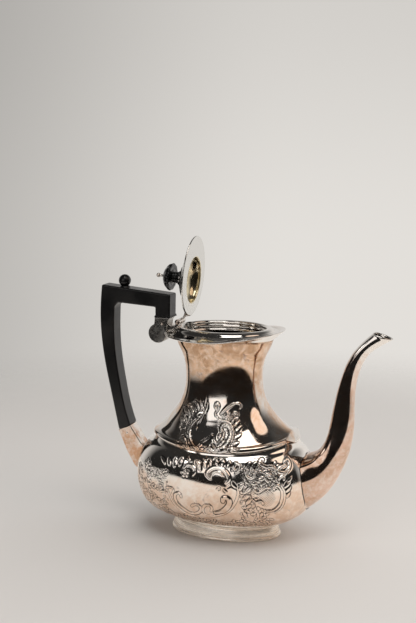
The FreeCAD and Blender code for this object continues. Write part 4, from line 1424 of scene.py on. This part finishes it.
@dataclass
class LidGroup:
    """Hinged lid with its dome, leaf and black turned knob, shown open."""

    hinge: tuple = (-42.0, 180.2)
    open_angle: float = math.radians(-85.0)
    centre: float = -2.0
    dome_x: float = -5.2
    seat: float = 171.0
    dome_top: float = 182.0
    columns: int = 220
    dome_steps: int = 26

    def oval_rows(self, rows: list) -> Points:
        """Stack of ovals.

        Args:
            rows: (centre x, half x, half y, z) per oval.

        Returns:
            Grid of points.
        """
        angle = np.linspace(0.0, TAU, self.columns, endpoint=False)
        return np.array([np.stack([cx + hx * np.cos(angle), hy * np.sin(angle),
                                   np.full(self.columns, z)], axis=-1)
                         for cx, hx, hy, z in rows])

    def dome_rows(self, grow: float) -> list:
        """Ovals of the dome from its foot to its crown."""
        out = []
        for k in np.linspace(0.0, 1.0, self.dome_steps):
            angle = 0.5 * math.pi * k
            wide = math.cos(angle) ** 0.82 if k < 1.0 else 0.0
            z = self.seat + (10.0 + grow) * math.sin(angle) ** 0.9
            out.append((self.dome_x, (19.5 + grow) * wide + 0.02, (16.0 + grow) * wide + 0.02, z))
        return out

    def hang(self, group: Assembly, obj: bpy.types.Object, finish: Finish, node: str) -> None:
        """Swing a piece modelled closed to the open rest pose, and keep it for its node."""
        group.keep(swung(obj, self.hinge, self.open_angle), finish, node, node)

    def plate(self, group: Assembly) -> None:
        """Flange, rolled edge and hollow dome."""
        mid = 0.5 * (self.centre + self.dome_x)
        under = [(self.centre, 34.25, 26.0, 172.0), (self.centre, 34.25, 26.0, 171.5),
                 (self.centre, 34.05, 25.8, 171.15), (self.centre, 33.6, 25.35, 171.0),
                 (self.centre, 32.6, 24.4, 171.0), (self.centre, 32.3, 24.1, 171.12),
                 (self.centre, 31.9, 23.8, 171.12), (mid, 26.0, 20.2, 171.1),
                 (self.dome_x, 21.6, 18.0, 171.05), (self.dome_x, 20.9, 17.3, 170.85),
                 (self.dome_x, 20.3, 16.8, 170.75), (self.dome_x, 19.8, 16.3, 170.95)]
        top = [(self.dome_x, 21.2, 17.7, 172.6), (self.dome_x, 22.4, 18.8, 172.2),
               (mid, 27.0, 21.0, 172.2), (self.centre, 33.4, 25.2, 172.2),
               (self.centre, 34.0, 25.8, 172.15)]
        shell = self.oval_rows(under + self.dome_rows(0.0))
        outer = self.oval_rows(self.dome_rows(1.0)[::-1] + top)
        obj = grid_object("lid_plate", np.concatenate([shell, outer]), wrap_rows=True)
        self.hang(group, obj, Finish.LID, "lid")
        gilt = group.paints.on(obj, Finish.GILT).data.materials[0]
        group.paints.on(obj, Finish.LID)
        obj.data.materials.append(gilt)
        hollow = np.zeros(len(obj.data.polygons), np.int32)
        last = len(under) + self.dome_steps - 1
        hollow[(len(under) - 2) * self.columns:last * self.columns] = 1
        obj.data.polygons.foreach_set("material_index", hollow)

    def leaf(self, group: Assembly) -> None:
        """Ribbed leaf that carries the lid, with its knuckle."""
        reach = np.linspace(0.0, 1.0, 60)
        guide = smooth_path(np.array([(-39.9, 178.3), (-38.6, 176.9), (-36.9, 174.9),
                                      (-34.6, 173.0), (-31.5, 172.0), (-27.0, 171.9)]), 60)
        wide = 2.7 + 7.3 * np.sin(0.5 * math.pi * np.clip((reach - 0.2) / 0.4, 0.0, 1.0)) ** 0.7
        ribs = 0.55 * np.maximum(0.0, np.sin(reach * 4.5 * TAU)) ** 1.2 * (reach < 0.9)
        across = np.linspace(-1.0, 1.0, 25)
        bow = 0.7 * np.outer(np.sin(math.pi * reach), across ** 2)
        slope = np.gradient(guide, axis=0)
        slope /= np.linalg.norm(slope, axis=1, keepdims=True)
        layers = []
        for lift in (-ribs, np.full(len(reach), 1.1)):
            x = (guide[:, 0] - slope[:, 1] * lift)[:, None] - bow
            z = np.broadcast_to((guide[:, 1] + slope[:, 0] * lift)[:, None], x.shape)
            layers.append(np.stack([x, wide[:, None] * across, z], axis=-1))
        grid = np.concatenate([layers[0], layers[1][:, ::-1]], axis=1)
        leaf_obj = grid_object("hinge_leaf", grid, caps=True)
        self.hang(group, leaf_obj, Finish.FITTING, "lid_leaf")
        knuckle = rounded_rod("leaf_knuckle", self.hinge, 2.3, -2.8, 2.8, 0.35, 1.02)
        self.hang(group, knuckle, Finish.FITTING, "lid_leaf")

    def fittings(self, group: Assembly) -> None:
        """Knob, washers, spindle and nut."""
        r, h, n = 11.9, 14.8, 4.4
        foot = self.dome_top + 0.8
        outline = rounded_profile(
            [(1.3, 0.0), (n + 2.0, 0.0), (n + 1.9, 0.8), (n + 0.3, 1.7), (n, 1.9), (n + 0.8, 2.7),
             (n, 3.5), (n + 0.7, 4.3), (n - 0.1, 5.1), (n + 0.5, 5.8), (n, 6.6), (n + 2.6, 7.3),
             (r - 2.4, 7.0), (r - 0.3, 7.3), (r, 8.3), (r - 0.6, 10.0), (r - 2.4, h - 3.0),
             (r - 5.2, h - 1.1), (r - 8.6, h - 0.2), (1.3, h)], 0.45, 4)
        knob = turned_object("turned_knob", outline, (self.dome_x, 0.0, foot), 96,
                             (12, 1.0, 6.7, 13.4))
        self.hang(group, knob, Finish.KNOB, "knob")
        top = foot + h
        rod = rounded_profile([(0.001, -17.0), (1.2, -17.0), (1.2, 0.0), (2.1, 0.1), (2.1, 0.9),
                               (1.2, 1.1), (0.95, 2.6), (1.2, 3.9)], 0.25, 3)
        arc = np.radians(np.linspace(-48.0, 90.0, 16))
        rod += [(1.9 * math.cos(a) + 1e-3, 5.5 + 1.9 * math.sin(a)) for a in arc]
        spindle = turned_object("knob_rod", rod, (self.dome_x, 0.0, top), 40)
        self.hang(group, spindle, Finish.FITTING, "knob_spindle")
        thick, nut_high = 0.8, 2.4
        for name, radius, low in (("knob_washer", 5.6, self.dome_top),
                                  ("knob_inner_washer", 3.8, self.seat + 10.0 - thick)):
            ring = rounded_profile([(1.3, 0.0), (radius, 0.0), (radius, thick), (1.3, thick)], 0.25)
            disc = turned_object(f"{name}_turned", ring, (self.dome_x, 0.0, low), 56)
            self.hang(group, disc, Finish.FITTING, name)
        low = self.seat + 10.0 - thick - nut_high
        hexagon = rounded_profile([(3.2 * math.cos(k * TAU / 6), 3.2 * math.sin(k * TAU / 6))
                                   for k in range(6)], 0.4, 3)
        rows = [(0.42, 0.0), (0.9, 0.0), (1.0, 0.35), (1.0, nut_high - 0.35), (0.9, nut_high),
                (0.42, nut_high)]
        grid = np.array([[(self.dome_x + x * share, y * share, low + up) for x, y in hexagon]
                         for share, up in rows])
        nut = grid_object("knob_nut_hexagonal", grid, wrap_rows=True, smooth=False)
        self.hang(group, nut, Finish.FITTING, "knob_nut")


@dataclass
class Studio:
    """Pale floor, soft lights, surroundings and camera."""

    camera_place: tuple = (0.296459, -0.860650, 0.341368)
    turn: float = 20.0
    tilt: float = 9.4
    lens: float = 63.56
    lamp_reach: float = 1.4
    room_tint: Colour = (1.0, 0.965, 0.93)
    backdrop_tint: Colour = (0.715, 0.69, 0.655)

    def floor(self, paints: Paints) -> None:
        """Round floor that fades out at its edge."""
        ring = np.linspace(0.0004, 1.3, 40)
        angle = np.linspace(0.0, TAU, 96, endpoint=False)
        grid = np.stack([np.outer(ring, np.cos(angle)), np.outer(ring, np.sin(angle)),
                         np.zeros((len(ring), 96))], axis=-1) / MM
        obj = grid_object("studio_floor", grid)
        obj.location.z = -0.00005
        paints.on(obj, Finish.FLOOR)

    def lamp(self, name: str, bearing: tuple, size: tuple, glow: float, colour: Colour,
             mirrored: bool = True, shape: str = "RECTANGLE") -> None:
        """Area light that faces the pot.

        Args:
            name: Light name.
            bearing: Azimuth from the front towards the spout's side, and elevation, in degrees.
            size: Width and height in metres.
            glow: Radiance of its face.
            colour: Light colour.
            mirrored: Whether the metal reflects it.
            shape: Outline of its face.
        """
        data = bpy.data.lights.new(name, "AREA")
        data.shape, data.size, data.size_y = shape, size[0], size[1]
        data.energy, data.color = glow * math.pi * size[0] * size[1], colour
        turn, rise = (math.radians(k) for k in bearing)
        away = Vector((math.sin(turn) * math.cos(rise), -math.cos(turn) * math.cos(rise),
                       math.sin(rise)))
        obj = bpy.data.objects.new(name, data)
        obj.location = Vector((0.0, 0.0, 0.1)) + self.lamp_reach * away
        obj.rotation_euler = (-away).to_track_quat("-Z", "Y").to_euler()
        obj.visible_glossy = mirrored
        obj.visible_camera = False
        bpy.context.scene.collection.objects.link(obj)

    def surroundings(self) -> None:
        """Pale wall behind and dark room in front for the metal; pale backdrop for the camera."""
        world = bpy.data.worlds.new("studio")
        bpy.context.scene.world = world
        n = NodeTree(world)
        axes = n.add("ShaderNodeSeparateXYZ")
        n.feed(axes.inputs[0], n.add("ShaderNodeTexCoord").outputs["Generated"])
        x, y, z = axes.outputs
        backdrop = n.maths("MULTIPLY", n.spread(x, -0.62, -0.26, 0.60, 1.04),
                           n.spread(z, -0.12, 0.16, 1.03, 0.86))
        wall = n.maths("MULTIPLY", n.spread(y, -0.08, 0.42), n.spread(z, 0.25, 0.75, 1.0, 0.10))
        wall = n.maths("MULTIPLY", wall, n.spread(x, -1.0, 0.4, 0.62, 0.80))
        room = n.maths("MAXIMUM", wall, n.spread(z, -0.2, 0.9, 0.016, 0.030))
        mix = n.add("ShaderNodeMixShader")
        n.feed(mix.inputs[0], n.add("ShaderNodeLightPath").outputs["Is Camera Ray"])
        for socket, strength, tint in ((mix.inputs[1], room, self.room_tint),
                                       (mix.inputs[2], backdrop, self.backdrop_tint)):
            shade = n.add("ShaderNodeBackground")
            n.feed(shade.inputs["Color"], (*tint, 1.0))
            n.feed(shade.inputs["Strength"], strength)
            n.feed(socket, shade.outputs[0])
        n.feed(n.add("ShaderNodeOutputWorld").inputs["Surface"], mix.outputs[0])

    def camera(self) -> None:
        """Camera in front of the pot, a little to the spout's side and above."""
        turn, tilt = math.radians(self.turn), math.radians(self.tilt)
        toward = Vector((math.sin(turn), -math.cos(turn), 0.0))
        forward = -toward * math.cos(tilt) - Vector((0.0, 0.0, math.sin(tilt)))
        data = bpy.data.cameras.new("view")
        data.sensor_fit, data.sensor_height, data.lens = "VERTICAL", 36.0, self.lens
        data.clip_start = 0.01
        obj = bpy.data.objects.new("view", data)
        obj.location = self.camera_place
        obj.rotation_euler = forward.to_track_quat("-Z", "Y").to_euler()
        bpy.context.scene.collection.objects.link(obj)
        bpy.context.scene.camera = obj

    def build(self, paints: Paints) -> None:
        """Set up the whole studio."""
        bpy.context.scene.view_settings.view_transform = "Standard"
        self.surroundings()
        self.floor(paints)
        self.lamp("window", (-12.0, 20.0), (0.86, 0.78), 1.20, (1.0, 0.95, 0.92))
        self.lamp("key", (20.0, 66.0), (0.66, 0.72), 3.0, (1.0, 0.975, 0.94))
        self.lamp("warm_reflector", (79.0, 42.0), (0.80, 0.95), 0.95, (1.0, 0.78, 0.63),
                  shape="ELLIPSE")
        self.lamp("small_window", (-41.0, 20.0), (0.22, 0.24), 2.6, (1.0, 0.98, 0.96))
        self.lamp("overhead", (122.0, 70.0), (2.6, 2.4), 1.26, (1.0, 0.985, 0.965),
                  mirrored=False)
        self.camera()


class LidAssembly(Assembly):
    """Sub-assembly that swings with the lid."""

    body = "lid"


def main() -> None:
    """Build every sub-assembly around the frame, then the studio."""
    logging.basicConfig(level=logging.INFO, format="%(name)s %(message)s")
    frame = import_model()
    paints = Paints()
    pot, lid = Assembly(paints), LidAssembly(paints)
    Foot().build(pot)
    for half in Half:
        tag = half.name.lower()
        pot.keep(LOWER_BODY.build(f"lower_body_{tag}", half), Finish.BODY, "body_lower",
                 "body_lower")
        pot.keep(NECK.build(f"neck_{tag}", half), Finish.NECK, "body_neck", "body_neck")
    Rim().build(pot)
    Spout().build(pot)
    HandleGroup().build(pot)
    HandleGroup().hinge(pot)
    lid_group = LidGroup()
    lid_group.plate(lid)
    lid_group.leaf(lid)
    lid_group.fittings(lid)
    paints.on(frame["nodes"]["base_plate"], Finish.FITTING)
    Studio().build(paints)


if __name__ == "__main__":
    main()
